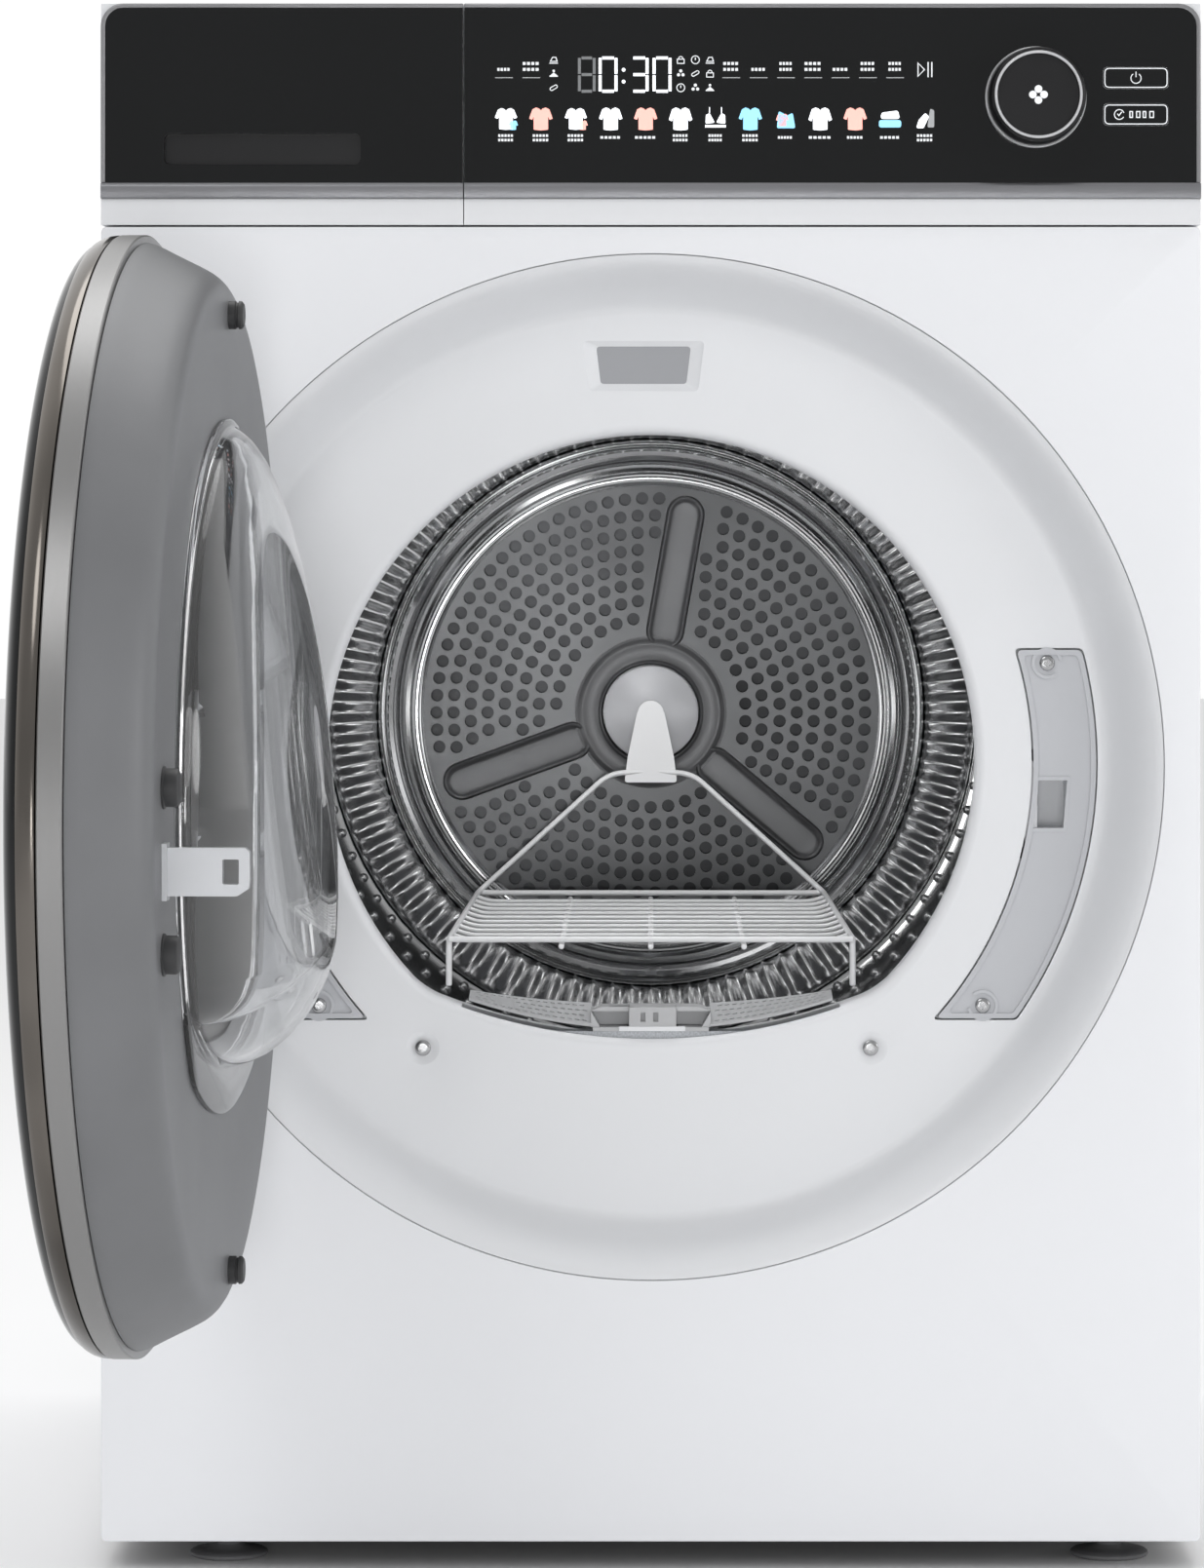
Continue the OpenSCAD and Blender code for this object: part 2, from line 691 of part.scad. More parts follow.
// ---------- Heat pump ----------

module compressor() {
    color("black") translate([195, 138, 0]) rotate_extrude() polygon([[0, 30], [50, 30], [62, 42], [62, 150],
        [54, 168], [30, 180], [0, 183]]);
    color("black") translate([195, 138, base_floor + gap]) difference() {
        linear_extrude(10.5) pill(150, 110, 20);
        for (sx = [-1, 1], sy = [-1, 1]) translate([sx * 60, sy * 42, -1]) cylinder(r = 6, h = 20);
    }
}

// Finned block with end plates and tubes
module finned_block(y0, y1) {
    fins = 15;
    x0 = -108;
    x1 = 108;
    pitch = (x1 - x0) / fins;
    for (i = [0 : fins]) block([x0 + i * pitch - 0.6, y0, base_floor + gap], [x0 + i * pitch + 0.6, y1, 148]);
    for (y = [y0 + 20, y1 - 20], z = [86, 128])
        translate([x0 - 4, y, z]) rotate([0, 90, 0]) cylinder(r = 4.5, h = x1 - x0 + 8);
}
module evaporator() { color("lightsteelblue") finned_block(-210, -122); }
module condenser() { color("lightsteelblue") finned_block(-104, -28); }

module refrigerant_pipes() {
    color("chocolate") {
        bent_bar([[112.5, -48, 128], [124, -48, 128], [124, 138, 128], [132.8, 138, 128]], 4);
        bent_bar([[112.5, -142, 86], [195, -142, 86], [195, 75.8, 86]], 4);
        bent_bar([[112.5, -84, 128], [126, -84, 128], [126, -190, 128], [112.5, -190, 128]], 3);
    }
}

module condensate_pump() {
    color("dimgray") {
        block([-60, 150, base_floor + gap], [10, 204, 100]);
        rod_z(18, 100 - eps, 130, -25, 178);
    }
    color("gray") bent_bar([[-40, 196, 90], [-60, 196.5, 100], [-280, 198, 220], [-280, 198, 740],
        [-200, 190, 790], [-200, 170, 790]], 5);
}

module control_board() {
    color("darkgreen") block([150, 40, 757], [280, 190, 759]);
    color("dimgray") {
        block([165, 60, 759 - eps], [195, 100, 785]);
        block([210, 120, 759 - eps], [260, 170, 778]);
    }
    color("lightgray") difference() {
        block([144, 34, 748], [286, 196, 757]);
        block([147, 37, 751], [283, 193, 758]);
    }
}

module cable_gland() {
    color("black") difference() {
        union() {
            rod_y(12, back_y - 9, back_y, 240, 790);
            rod_y(15, back_y - 3.5, back_y - 1, 240, 790);
        }
        rod_y(4.5, back_y - 12, back_y + 1, 240, 790);
    }
}

// ---------- Door, drawn closed and swung open ----------

// Space that the lugs sweep inside the door
module lug_room() {
    for (s = [-1, 1]) rod_z(78, door_z + s * lug_z - lug_t / 2 - 1.5, door_z + s * lug_z + lug_t / 2 + 1.5,
        hinge_x, hinge_y);
}

module door_frame() {
    t = 3;
    color("dimgray") as_opened() {
        difference() {
            turned_y([[150, face_y - t], [door_face_r - 3, face_y - t], [door_face_r + 7, face_y - 12],
                [264, front_y + 2], [267, join_y + t], [150, join_y + t], [150, join_y],
                [door_r - 4, join_y], [271, front_y + 3], [267.5, front_y + 8], [263.2, face_y - 18],
                [259.3, face_y - 10], [door_face_r + 7.6, face_y - 4], [door_face_r + 3.5, face_y - 1.2],
                [door_face_r - 1.5, face_y], [150, face_y]]);
            front_view(join_y - 5, face_y + 5, door_z) polygon(mouth(-2, 6));
            difference() {
                lug_room();
                block([-400, -400, 0], [0, join_y - 1, 900]);
            }
            block([-290, hinge_y - 10, door_z - 34], [hinge_x + 14, face_y + 5, door_z + 34]);
        }
        // knuckle that turns on the bracket's pins
        difference() {
            union() {
                rod_z(9, door_z - 32, door_z + 32, hinge_x, hinge_y);
                block([hinge_x, hinge_y - 4, door_z - 32], [hinge_x + 24, hinge_y + 4, door_z + 32]);
                block([hinge_x + 17, hinge_y, door_z - 32], [hinge_x + 24, join_y + 3, door_z + 32]);
            }
            rod_z(pin_r + 0.05, door_z - 60, door_z + 60, hinge_x, hinge_y);
        }
    }
}

module door_ring() {
    color("silver") as_opened() difference() {
        // a straight band, a fine groove and a rounded band
        turned_y([[268.5, join_y - 0.2], [door_r - 0.5, join_y - 0.2], [door_r, join_y - 1],
            [door_r, join_y - 11.6], [door_r - 0.8, join_y - 12.2], [door_r - 0.8, join_y - 12.8],
            [door_r - 0.2, join_y - 13.6], [door_r - 0.6, join_y - 17], [door_r - 1.9, join_y - 20],
            [door_r - 3.4, join_y - 22], [268.5, join_y - 22]]);
        intersection() {
            lug_room();
            block([-400, join_y - 9, 0], [0, 0, 900]);
        }
    }
}

module door_glass() {
    color("black") as_opened() turned_y([[0, glass_y - 4], [120, glass_y - 3.7], [200, glass_y - 2.8],
        [240, glass_y - 1.4], [258, glass_y + 0.4], [266, glass_y + 2.4], [270.2, glass_y + 5],
        [272.2, glass_y + 7.8], [267.5, glass_y + 7.8], [263, glass_y + 6.2], [254, glass_y + 4.2],
        [238, glass_y + 2.4], [200, glass_y + 1], [120, glass_y + 0.2], [0, glass_y]]);
}

// Front view of the bowl's dome at a share of its depth; less makes it smaller
bowl_low = [0, -70];
function dome(share, less) = let (k = pow(1 - pow(max(share, 0), 2), 0.6))
    [for (p = mouth(1.5 - less, 9)) bowl_low + (p - bowl_low) * k];

module bowl_solid(less, start) {
    deep = bowl_deep - less;
    hull() for (share = [start, 0.26, 0.48, 0.66, 0.81, 0.92, 0.985])
        front_view(face_y + share * deep, face_y + share * deep + 0.4, door_z) polygon(dome(share, less));
}

module glass_bowl() {
    color("lightcyan") as_opened() difference() {
        union() {
            front_view(face_y + 0.1, face_y + 3.6, door_z) polygon(mouth(7, 0));
            bowl_solid(0, 0.01);
        }
        bowl_solid(4, -0.05);
    }
}

module door_hook() {
    x = hook_x;
    color("silver") as_opened() difference() {
        union() {
            block([x - 2.5, face_y, hook_z - 11], [x + 2.5, face_y + 40, hook_z + 11]);
            block([x - 5, face_y, hook_z - 11], [x + 5, face_y + 2.5, hook_z + 11]);
        }
        block([x - 5, face_y + 28, hook_z - 6], [x + 5, face_y + 35, hook_z + 6]);
    }
}

module door_bumpers() {
    color("black") as_opened() {
        for (s = [-1, 1]) rod_y(7, face_y, face_y + 7.4, -16, door_z + s * 237);
        for (s = [-1, 1]) turned_y([[0, face_y], [12, face_y], [9, face_y + 7.2], [0, face_y + 7.8]],
            hook_x - 2, hook_z + s * 38);
    }
}

// ---------- Lint filter ----------

// Curved strip across the bottom of the opening, as slices from left to right
strip_half = 100;
strip_n = 20;
function strip_low(x) = door_z - mouth_drop + mouth_flat_r - sqrt(pow(mouth_flat_r, 2) - x * x) + 0.6;
function strip_high(x) = strip_low(x) + 2.5 + 10.5 * (1 - pow(x / 112, 2));
function strip_slice(x) = let (y0 = floor_y + 4, y1 = -227, z0 = strip_low(x), z1 = strip_high(x))
    [[x, y0, z0], [x, y1, z0], [x, y1, z1], [x, y0, z0 + 2.4]];
module filter_grille() {
    xs = [for (i = [0 : strip_n]) -strip_half + 2 * strip_half * i / strip_n];
    points = [for (x = xs) each strip_slice(x)];
    sides = [for (i = [0 : strip_n - 1], k = [0 : 3]) let (a = 4 * i + k, b = 4 * i + (k + 1) % 4)
        each [[a, a + 4, b + 4], [a, b + 4, b]]];
    n = 4 * strip_n;
    ends = [[0, 1, 2], [0, 2, 3], [n + 2, n + 1, n], [n + 3, n + 2, n]];
    color("lightgray") polyhedron(points, concat(sides, ends));
}

module lint_screen() {
    color("silver") difference() {
        block([-97, floor_y + 6, 190], [97, -236, strip_low(0)]);
        for (i = [0 : 2]) block([-91 + i * 62, floor_y, 196], [-33 + i * 62, -230, 280]);
    }
    color("lightsteelblue") block([-92, -243.6, 195], [92, -243, 281]);
}

// ---------- Drying rack ----------

module rack_frame() {
    color("white") {
        for (s = [-1, 1]) bent_bar([[s * rack_half, rack_y0, rack_foot_z], [s * rack_half, rack_y0, rack_z],
            [s * rack_rear_half, rack_y1, rack_z], [s * 28, rack_y1 + 6, 408], [0, rack_y1 + 8, 410]],
            rack_wire);
        // the platform's cross wires, slightly thinner than the frame's
        for (i = [0 : 13]) {
            y = rack_y0 + 2 + i * 26.5;
            w = rack_half - (rack_half - rack_rear_half) * (y - rack_y0) / (rack_y1 - rack_y0) - 0.5;
            bar([-w, y, rack_z], [w, y, rack_z], rack_bar);
        }
        for (x = [-50, 0, 52]) bar([x, rack_y0 - 1, rack_z - 2.8], [x, rack_y1 + 1, rack_z - 2.8], rack_bar);
    }
}

module rack_tongue() {
    color("white") difference() {
        hull() {
            rod_y(8, 158, 168, 0, 446, $fn = 32);
            block([-16, 152, 403], [16, 164, 412]);
        }
        block([-20, 161.5, 400], [20, 170, 436]);
    }
}

front_panel();
side_panels();
back_panel();
top_cover();
base_tray();
levelling_feet();
fascia_frame();
fascia_glass();
fascia_trim();
display_board();
door_recess();
drum_light_lens();
latch_cover();
hinge_cover();
case_screws();
door_lock();
hinge_bracket();
front_bulkhead();
drum_seals();
rear_bulkhead();
rear_bearing();
rear_duct_cover();
drum_belt();
motor_housing();
blower_housing();
compressor();
evaporator();
condenser();
refrigerant_pipes();
condensate_pump();
filter_duct();
control_board();
drawer_housing();
cable_gland();
door_frame();
door_ring();
door_glass();
glass_bowl();
door_hook();
door_bumpers();
drum_shell();
drum_rear_wall();
drum_lifters();
knob();
power_button();
auto_button();
drawer_front();
drawer_glass();
drawer_trim();
water_tank();
filter_grille();
lint_screen();
rack_frame();
rack_tongue();
motor_shaft();
blower_wheel();
idler_arm();
idler_pulley();
roller_left();
roller_right();
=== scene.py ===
import json
import math

import bmesh
import bpy
from mathutils import Matrix, Vector
from mathutils.geometry import delaunay_2d_cdt


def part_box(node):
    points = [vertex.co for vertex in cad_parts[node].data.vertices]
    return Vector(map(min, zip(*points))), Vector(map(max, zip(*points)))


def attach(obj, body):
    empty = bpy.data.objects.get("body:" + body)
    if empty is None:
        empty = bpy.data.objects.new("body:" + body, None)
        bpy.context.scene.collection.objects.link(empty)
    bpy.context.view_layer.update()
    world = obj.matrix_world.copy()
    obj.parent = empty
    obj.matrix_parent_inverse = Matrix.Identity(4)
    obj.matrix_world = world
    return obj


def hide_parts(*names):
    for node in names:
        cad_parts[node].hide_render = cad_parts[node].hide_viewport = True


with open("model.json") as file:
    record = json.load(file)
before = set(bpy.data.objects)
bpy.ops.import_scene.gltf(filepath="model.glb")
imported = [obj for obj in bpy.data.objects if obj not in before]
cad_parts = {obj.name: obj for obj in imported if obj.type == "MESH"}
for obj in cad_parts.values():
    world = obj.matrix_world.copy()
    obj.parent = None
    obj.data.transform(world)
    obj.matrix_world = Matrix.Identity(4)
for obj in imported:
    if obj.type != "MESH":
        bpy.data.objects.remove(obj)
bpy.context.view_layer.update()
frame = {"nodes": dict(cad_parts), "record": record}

# ---------- Places in millimetres, read from the frame ----------

JOINTS = {j["name"]: j for j in frame["record"]["behaviour"]["joints"]}


def node_box(name):
    """Lowest and highest corner of a CAD node, in millimetres."""
    lo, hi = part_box(name)
    return Vector(lo) * 1000, Vector(hi) * 1000


PANEL_LO, PANEL_HI = node_box("front_panel")
HALF_W = PANEL_HI.x
FRONT = PANEL_LO.y
RECESS_LO, RECESS_HI = node_box("door_recess")
DOOR_Z = (RECESS_LO.z + RECESS_HI.z) / 2
FLOOR = FRONT + 44
COLLAR = RECESS_HI.y
TRIM_LO, TRIM_HI = node_box("fascia_trim")
GLASS_LO, GLASS_HI = node_box("fascia_glass")
DRAWER_LO, DRAWER_HI = node_box("drawer_glass")
KNOB_LO, KNOB_HI = node_box("knob")
KNOB_X = (KNOB_LO.x + KNOB_HI.x) / 2
KNOB_Z = (KNOB_LO.z + KNOB_HI.z) / 2
HINGE = Vector(JOINTS["door_hinge"]["pos_m"]) * 1000
DOOR_OPEN = math.radians(max(abs(v) for v in JOINTS["door_hinge"]["range_deg"]))
SWING = Matrix.Translation(HINGE) @ Matrix.Rotation(-DOOR_OPEN, 4, "Z") @ Matrix.Translation(-HINGE)
DRUM_Z = JOINTS["drum_spin"]["pos_m"][2] * 1000
WALL = node_box("drum_lifters")[1].y + 25
JOIN = FRONT - 2
FACE = JOIN + 37
GLASS_Y = JOIN - 30
HOOK_X, HOOK_Z = 219.5, DOOR_Z - 22.9
RACK_LO, RACK_HI = node_box("rack_frame")
TONGUE_LO, TONGUE_HI = node_box("rack_tongue")
BUTTON_X, BUTTONS = 262.3, (808.6, 788.8)
ROUND = 192  # points on the largest circles


# ---------- Materials ----------

MATERIALS = {}  # every finish by its name here


def new_material(name):
    """An empty node material with its Principled shader; without a slot of its own it is the slot's finish."""
    m = bpy.data.materials.new(name)
    MATERIALS[name] = m
    m.use_nodes = True
    shader = m.node_tree.nodes["Principled BSDF"]
    return m, m.node_tree, shader


def noise(tree, scale, detail=3.0, rough=0.5, stretch=(1, 1, 1)):
    """A noise pattern in object space; stretch above 1 shortens it along that axis."""
    coord = tree.nodes.new("ShaderNodeTexCoord")
    mapping = tree.nodes.new("ShaderNodeMapping")
    mapping.inputs["Scale"].default_value = stretch
    pattern = tree.nodes.new("ShaderNodeTexNoise")
    pattern.inputs["Scale"].default_value = scale
    pattern.inputs["Detail"].default_value = detail
    pattern.inputs["Roughness"].default_value = rough
    tree.links.new(coord.outputs["Object"], mapping.inputs["Vector"])
    tree.links.new(mapping.outputs["Vector"], pattern.inputs["Vector"])
    return pattern


def spread(tree, pattern, low, high, target):
    """Maps a pattern to a range of numbers on a socket."""
    ramp = tree.nodes.new("ShaderNodeMapRange")
    ramp.inputs["To Min"].default_value = low
    ramp.inputs["To Max"].default_value = high
    tree.links.new(pattern.outputs["Fac"], ramp.inputs["Value"])
    tree.links.new(ramp.outputs["Result"], target)


def tint(tree, pattern, dark, light, target):
    """Colours a pattern between two colours."""
    ramp = tree.nodes.new("ShaderNodeValToRGB")
    ramp.color_ramp.elements[0].position = 0.3
    ramp.color_ramp.elements[1].position = 0.7
    ramp.color_ramp.elements[0].color = (*dark, 1)
    ramp.color_ramp.elements[1].color = (*light, 1)
    tree.links.new(pattern.outputs["Fac"], ramp.inputs["Fac"])
    tree.links.new(ramp.outputs["Color"], target)


def bump(tree, shader, pattern, strength, distance):
    """Adds a pattern as bump."""
    node = tree.nodes.new("ShaderNodeBump")
    node.inputs["Strength"].default_value = strength
    node.inputs["Distance"].default_value = distance
    tree.links.new(pattern.outputs["Fac"], node.inputs["Height"])
    tree.links.new(node.outputs["Normal"], shader.inputs["Normal"])


def surface(name, color, rough, metal=0.0, vary=0.03, scale=18.0, grain=0.0, grain_scale=900.0,
            stretch=(1, 1, 1), ior=1.5):
    """A solid finish with slight variation of colour and roughness, and a fine grain."""
    m, tree, shader = new_material(name)
    shader.inputs["Metallic"].default_value = metal
    shader.inputs["IOR"].default_value = ior
    big = noise(tree, scale, stretch=stretch)
    dark = [c * (1 - vary) for c in color]
    light = [min(1.0, c * (1 + vary)) for c in color]
    tint(tree, big, dark, light, shader.inputs["Base Color"])
    fine = noise(tree, grain_scale, 4.0, 0.6, stretch)
    spread(tree, fine, rough * 0.85, min(1.0, rough * 1.15), shader.inputs["Roughness"])
    if grain:
        bump(tree, shader, fine, grain, 0.0004)
    return m


def clear(name, color, rough):
    """Clear glass with a faint tint and slight smears."""
    m, tree, shader = new_material(name)
    shader.inputs["Base Color"].default_value = (*color, 1)
    shader.inputs["Transmission Weight"].default_value = 0.98
    shader.inputs["IOR"].default_value = 1.46
    spread(tree, noise(tree, 25, 2.0), rough, rough + 0.02, shader.inputs["Roughness"])
    return m


def glowing(name, color, strength):
    """A glowing mark: a lit mark on the display, or printed marks given a painted glow, with a slight unevenness of
    its light.
    """
    m, tree, shader = new_material(name)
    shader.inputs["Base Color"].default_value = (*color, 1)
    shader.inputs["Roughness"].default_value = 0.4
    shader.inputs["Emission Strength"].default_value = strength
    tint(tree, noise(tree, 60), [c * 0.94 for c in color], color, shader.inputs["Emission Color"])
    return m


ENAMEL = surface("white_enamel", (0.80, 0.81, 0.835), 0.55, vary=0.008, scale=3, grain=0.05,
                 grain_scale=400, ior=1.3)
PLASTIC = surface("white_plastic", (0.74, 0.75, 0.77), 0.38, vary=0.01, scale=5, grain=0.08, grain_scale=1200)
surface("light_grey_plastic", (0.33, 0.337, 0.355), 0.4, vary=0.015, grain=0.12, grain_scale=1500)
BLACK = surface("black_glass", (0.0045, 0.005, 0.0055), 0.08, vary=0.1, scale=6, ior=1.38)
BLACK_SATIN = surface("black_satin", (0.006, 0.006, 0.007), 0.3, vary=0.1, grain=0.1, ior=1.4)
SILVER = surface("silver_trim", (0.25, 0.252, 0.265), 0.33, metal=0.9, vary=0.03, grain=0.06,
                 stretch=(1, 1, 30))
CHAMPAGNE = surface("champagne_chrome", (0.14, 0.128, 0.116), 0.17, metal=1.0, vary=0.5, scale=5, grain=0.02)
SATIN = surface("satin_band", (0.29, 0.288, 0.287), 0.36, metal=0.95, vary=0.05, scale=4, grain=0.03)
DARK_GREY = surface("dark_grey_plastic", (0.155, 0.158, 0.165), 0.42, metal=0.15, vary=0.05,
                    grain=0.12, grain_scale=1600)
surface("drum_steel", (0.58, 0.58, 0.585), 0.2, metal=1.0, vary=0.06, scale=30, grain=0.06, grain_scale=500)
STEEL_DULL = surface("hub_steel", (0.52, 0.525, 0.545), 0.4, metal=0.3, vary=0.02, grain=0.05)
ZINC = surface("zinc_steel", (0.55, 0.555, 0.57), 0.3, metal=1.0, vary=0.12, scale=60, grain=0.1)
RUBBER = surface("black_rubber", (0.15, 0.151, 0.156), 0.6, vary=0.1, grain=0.3)
surface("felt", (0.45, 0.39, 0.31), 0.95, vary=0.15, scale=150, grain=0.8, grain_scale=700)
surface("galvanised", (0.46, 0.475, 0.49), 0.4, metal=0.85, vary=0.05, scale=45, grain=0.1)
surface("base_plastic", (0.05, 0.05, 0.053), 0.55, vary=0.1, grain=0.25)
surface("cast_metal", (0.04, 0.04, 0.043), 0.5, metal=0.3, vary=0.15, grain=0.4, grain_scale=300)
surface("fin_aluminium", (0.7, 0.72, 0.74), 0.3, metal=1.0, vary=0.05, grain=0.1, stretch=(1, 20, 1))
surface("copper", (0.70, 0.36, 0.20), 0.25, metal=1.0, vary=0.1, grain=0.05)
surface("circuit_board", (0.02, 0.12, 0.05), 0.35, vary=0.25, scale=300, grain=0.1)
WIRE = surface("coated_wire", (0.78, 0.785, 0.795), 0.33, vary=0.01, grain=0.04, grain_scale=700)
surface("lifter_plastic", (0.42, 0.43, 0.45), 0.45, vary=0.03, grain=0.15)
surface("lint_mesh", (0.55, 0.57, 0.6), 0.7, vary=0.2, scale=900, grain=0.5, grain_scale=1500)
CLEAR = clear("clear_glass", (0.99, 0.995, 1.0), 0.0)
LIT = glowing("display_white", (0.92, 0.95, 1.0), 1.0)
DIM = glowing("display_dim", (0.16, 0.165, 0.17), 0.35)
# painted glow: the printed marks on the glass, the buttons and the dial emit light, though print is no lamp
PRINT_GLOW = glowing("print_painted_glow", (0.72, 0.74, 0.76), 0.35)
CORAL = glowing("mark_coral", (0.95, 0.42, 0.36), 0.7)
SKY = glowing("mark_sky", (0.28, 0.66, 0.92), 0.7)

FRAME = surface("thin_frame", (0.30, 0.30, 0.31), 0.3, metal=0.9, vary=0.03)
CHROME_DARK = surface("ring_steel", (0.50, 0.505, 0.51), 0.13, metal=1.0, vary=0.04, scale=6)
DISC = surface("disc_steel", (0.1, 0.102, 0.105), 0.3, metal=0.95, vary=0.3, scale=7)
ARM = surface("pressed_steel", (0.14, 0.142, 0.146), 0.36, metal=0.8, vary=0.12, scale=9)
FLUTE = surface("fluted_steel", (0.58, 0.585, 0.59), 0.24, metal=1.0, vary=0.04, scale=10)
COVER = surface("cover_grey", (0.50, 0.51, 0.535), 0.42, vary=0.012, grain=0.1, grain_scale=1500)
FILTER = surface("filter_grey", (0.45, 0.455, 0.465), 0.45, vary=0.02, grain=0.12, grain_scale=1500)
HOOK = surface("hook_satin", (0.50, 0.51, 0.53), 0.35, metal=0.5, vary=0.03, grain=0.05)
BUMPER = surface("bumper_rubber", (0.028, 0.0285, 0.03), 0.5, vary=0.05, grain=0.15)
SCREW = surface("screw_steel", (0.42, 0.423, 0.43), 0.22, metal=1.0, vary=0.1, scale=60, grain=0.05)
RING = surface("dial_silver", (0.62, 0.625, 0.64), 0.3, metal=0.5, vary=0.03, scale=12)
# painted shade: a near-black finish for the sheet set just behind the disc's holes
SHADE_BACKING = surface("painted_shade_dark", (0.04, 0.041, 0.043), 0.3, metal=0.9, vary=0.6, scale=6)
# painted glow: the grey print emits light as well
GREY_PRINT_GLOW = glowing("grey_print_painted_glow", (0.36, 0.37, 0.38), 0.3)


def paint_frame():
    """Gives every CAD node the material of its slot."""
    slots = {s["node"]: s["material_slot"] for s in frame["record"]["subparts"]}
    for name, obj in frame["nodes"].items():
        obj.data.materials.clear()
        obj.data.materials.append(MATERIALS[slots[name]])
    for name, width in (("top_cover", 1.0), ("side_panels", 0.6)):
        soften(frame["nodes"][name], width, 2)


# ---------- Mesh helpers; every length is in millimetres until a piece is finished ----------

def finish_piece(name, bm, material, body, stands_for=(), place=None, sharp=35):
    """Turns a bmesh into a piece that rides on a body."""
    bmesh.ops.remove_doubles(bm, verts=bm.verts, dist=2e-3)
    bmesh.ops.recalc_face_normals(bm, faces=bm.faces)
    if place is not None:
        bmesh.ops.transform(bm, matrix=place, verts=bm.verts)
    bmesh.ops.scale(bm, vec=(0.001, 0.001, 0.001), verts=bm.verts)
    mesh = bpy.data.meshes.new(name)
    bm.to_mesh(mesh)
    bm.free()
    mesh.materials.append(material)
    mesh.shade_smooth()
    mesh.set_sharp_from_angle(angle=math.radians(sharp))
    obj = bpy.data.objects.new(name, mesh)
    bpy.context.scene.collection.objects.link(obj)
    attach(obj, body)
    if stands_for:
        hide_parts(*stands_for)
    return obj


def soften(obj, width, segments=3, angle=40):
    """Rounds the sharp edges of a piece."""
    mod = obj.modifiers.new("soft_edges", "BEVEL")
    mod.width = width / 1000
    mod.segments = segments
    mod.limit_method = "ANGLE"
    mod.angle_limit = math.radians(angle)
    return obj


def cut(obj, *cutters):
    """Takes closed bmeshes, in millimetres, away from a piece."""
    for bm in cutters:
        bmesh.ops.recalc_face_normals(bm, faces=bm.faces)
        bmesh.ops.scale(bm, vec=(0.001, 0.001, 0.001), verts=bm.verts)
        mesh = bpy.data.meshes.new("cutter")
        bm.to_mesh(mesh)
        bm.free()
        tool = bpy.data.objects.new("cutter", mesh)
        bpy.context.scene.collection.objects.link(tool)
        mod = obj.modifiers.new("cut", "BOOLEAN")
        mod.operation = "DIFFERENCE"
        mod.solver = "EXACT"
        mod.object = tool
        bpy.context.view_layer.update()
        result = bpy.data.meshes.new_from_object(obj.evaluated_get(bpy.context.evaluated_depsgraph_get()))
        obj.modifiers.remove(mod)
        obj.data = result
        bpy.data.objects.remove(tool)
        bpy.data.meshes.remove(mesh)
    obj.data.shade_smooth()
    obj.data.set_sharp_from_angle(angle=math.radians(35))
    return obj


def rounded(points, radius, steps=5):
    """Rounds the corners of a closed outline of 2D points."""
    out = []
    n = len(points)
    for i, p in enumerate(points):
        r = radius[i] if isinstance(radius, (list, tuple)) else radius
        a, b, c = Vector(points[i - 1]), Vector(p), Vector(points[(i + 1) % n])
        u, v = a - b, c - b
        if r <= 0 or u.angle(v) > math.radians(178):
            out.append(b)
            continue
        reach = min(r / math.tan(u.angle(v) / 2), u.length * 0.48, v.length * 0.48)
        start, end = b + u.normalized() * reach, b + v.normalized() * reach
        for k in range(steps + 1):
            t = k / steps
            out.append((1 - t) ** 2 * start + 2 * t * (1 - t) * b + t * t * end)
    return out


def rect(x0, z0, x1, z1, r=0.0, steps=5):
    """A rectangle in front view with rounded corners."""
    return rounded([(x0, z0), (x1, z0), (x1, z1), (x0, z1)], r, steps)


def circle(x, z, r, n=48, turn=0.0):
    """A circle in front view."""
    return arc(x, z, r, turn, turn + 360 - 360 / n, n - 1)


def arc(cx, cz, r, a0, a1, n):
    """Points of an arc, angles in degrees."""
    angles = [math.radians(a0 + (a1 - a0) * i / n) for i in range(n + 1)]
    return [Vector((cx + r * math.cos(a), cz + r * math.sin(a))) for a in angles]


def pill(x, z, length, width, angle, n=12):
    """A slot outline with round ends, turned by an angle in degrees."""
    h = max(length - width, 0) / 2
    pts = arc(h, 0, width / 2, -90, 90, n) + arc(-h, 0, width / 2, 90, 270, n)
    turn = Matrix.Rotation(math.radians(angle), 2)
    return [turn @ p + Vector((x, z)) for p in pts]


def mouth(grow=0.0, lift=0.0):
    """Outline of the loading opening: a circle with a flatter bottom and soft corners, as in the CAD."""
    r1, r2, rc = 176 + grow, 316 + grow, 42 + grow
    c1, c2 = 2.2, 316 - 148.5 + lift
    a, b = (r1 - rc) ** 2, (r2 - rc) ** 2
    fz = (a - b + c2 ** 2 - c1 ** 2) / (2 * (c2 - c1))
    fx = math.sqrt(a - (fz - c1) ** 2)
    a1, a2 = math.degrees(math.atan2(fz - c1, fx)), math.degrees(math.atan2(fz - c2, fx))
    pts = arc(0, c1, r1, a1, 180 - a1, 100) + arc(-fx, fz, rc, 181 - a1, 179 - a2, 16)
    pts += arc(0, c2, r2, 180 - a2, 360 + a2, 24) + arc(fx, fz, rc, 361 + a2, 359 + a1, 16)
    return [Vector((p.x, p.y + DOOR_Z)) for p in pts]


def at_y(outline, y):
    """Puts a front-view outline at a depth."""
    return [Vector((p[0], y, p[1])) for p in outline]


def skin(bm, loops, caps=True, closed=False):
    """Joins loops of equally many 3D points."""
    rows = [[bm.verts.new(p) for p in loop] for loop in loops]
    n = len(rows[0])
    pairs = list(zip(rows, rows[1:] + rows[:1]))
    for a, b in pairs if closed else pairs[:-1]:
        for i in range(n):
            bm.faces.new((a[i], a[(i + 1) % n], b[(i + 1) % n], b[i]))
    if caps and not closed:
        bm.faces.new(list(reversed(rows[0])))
        bm.faces.new(rows[-1])


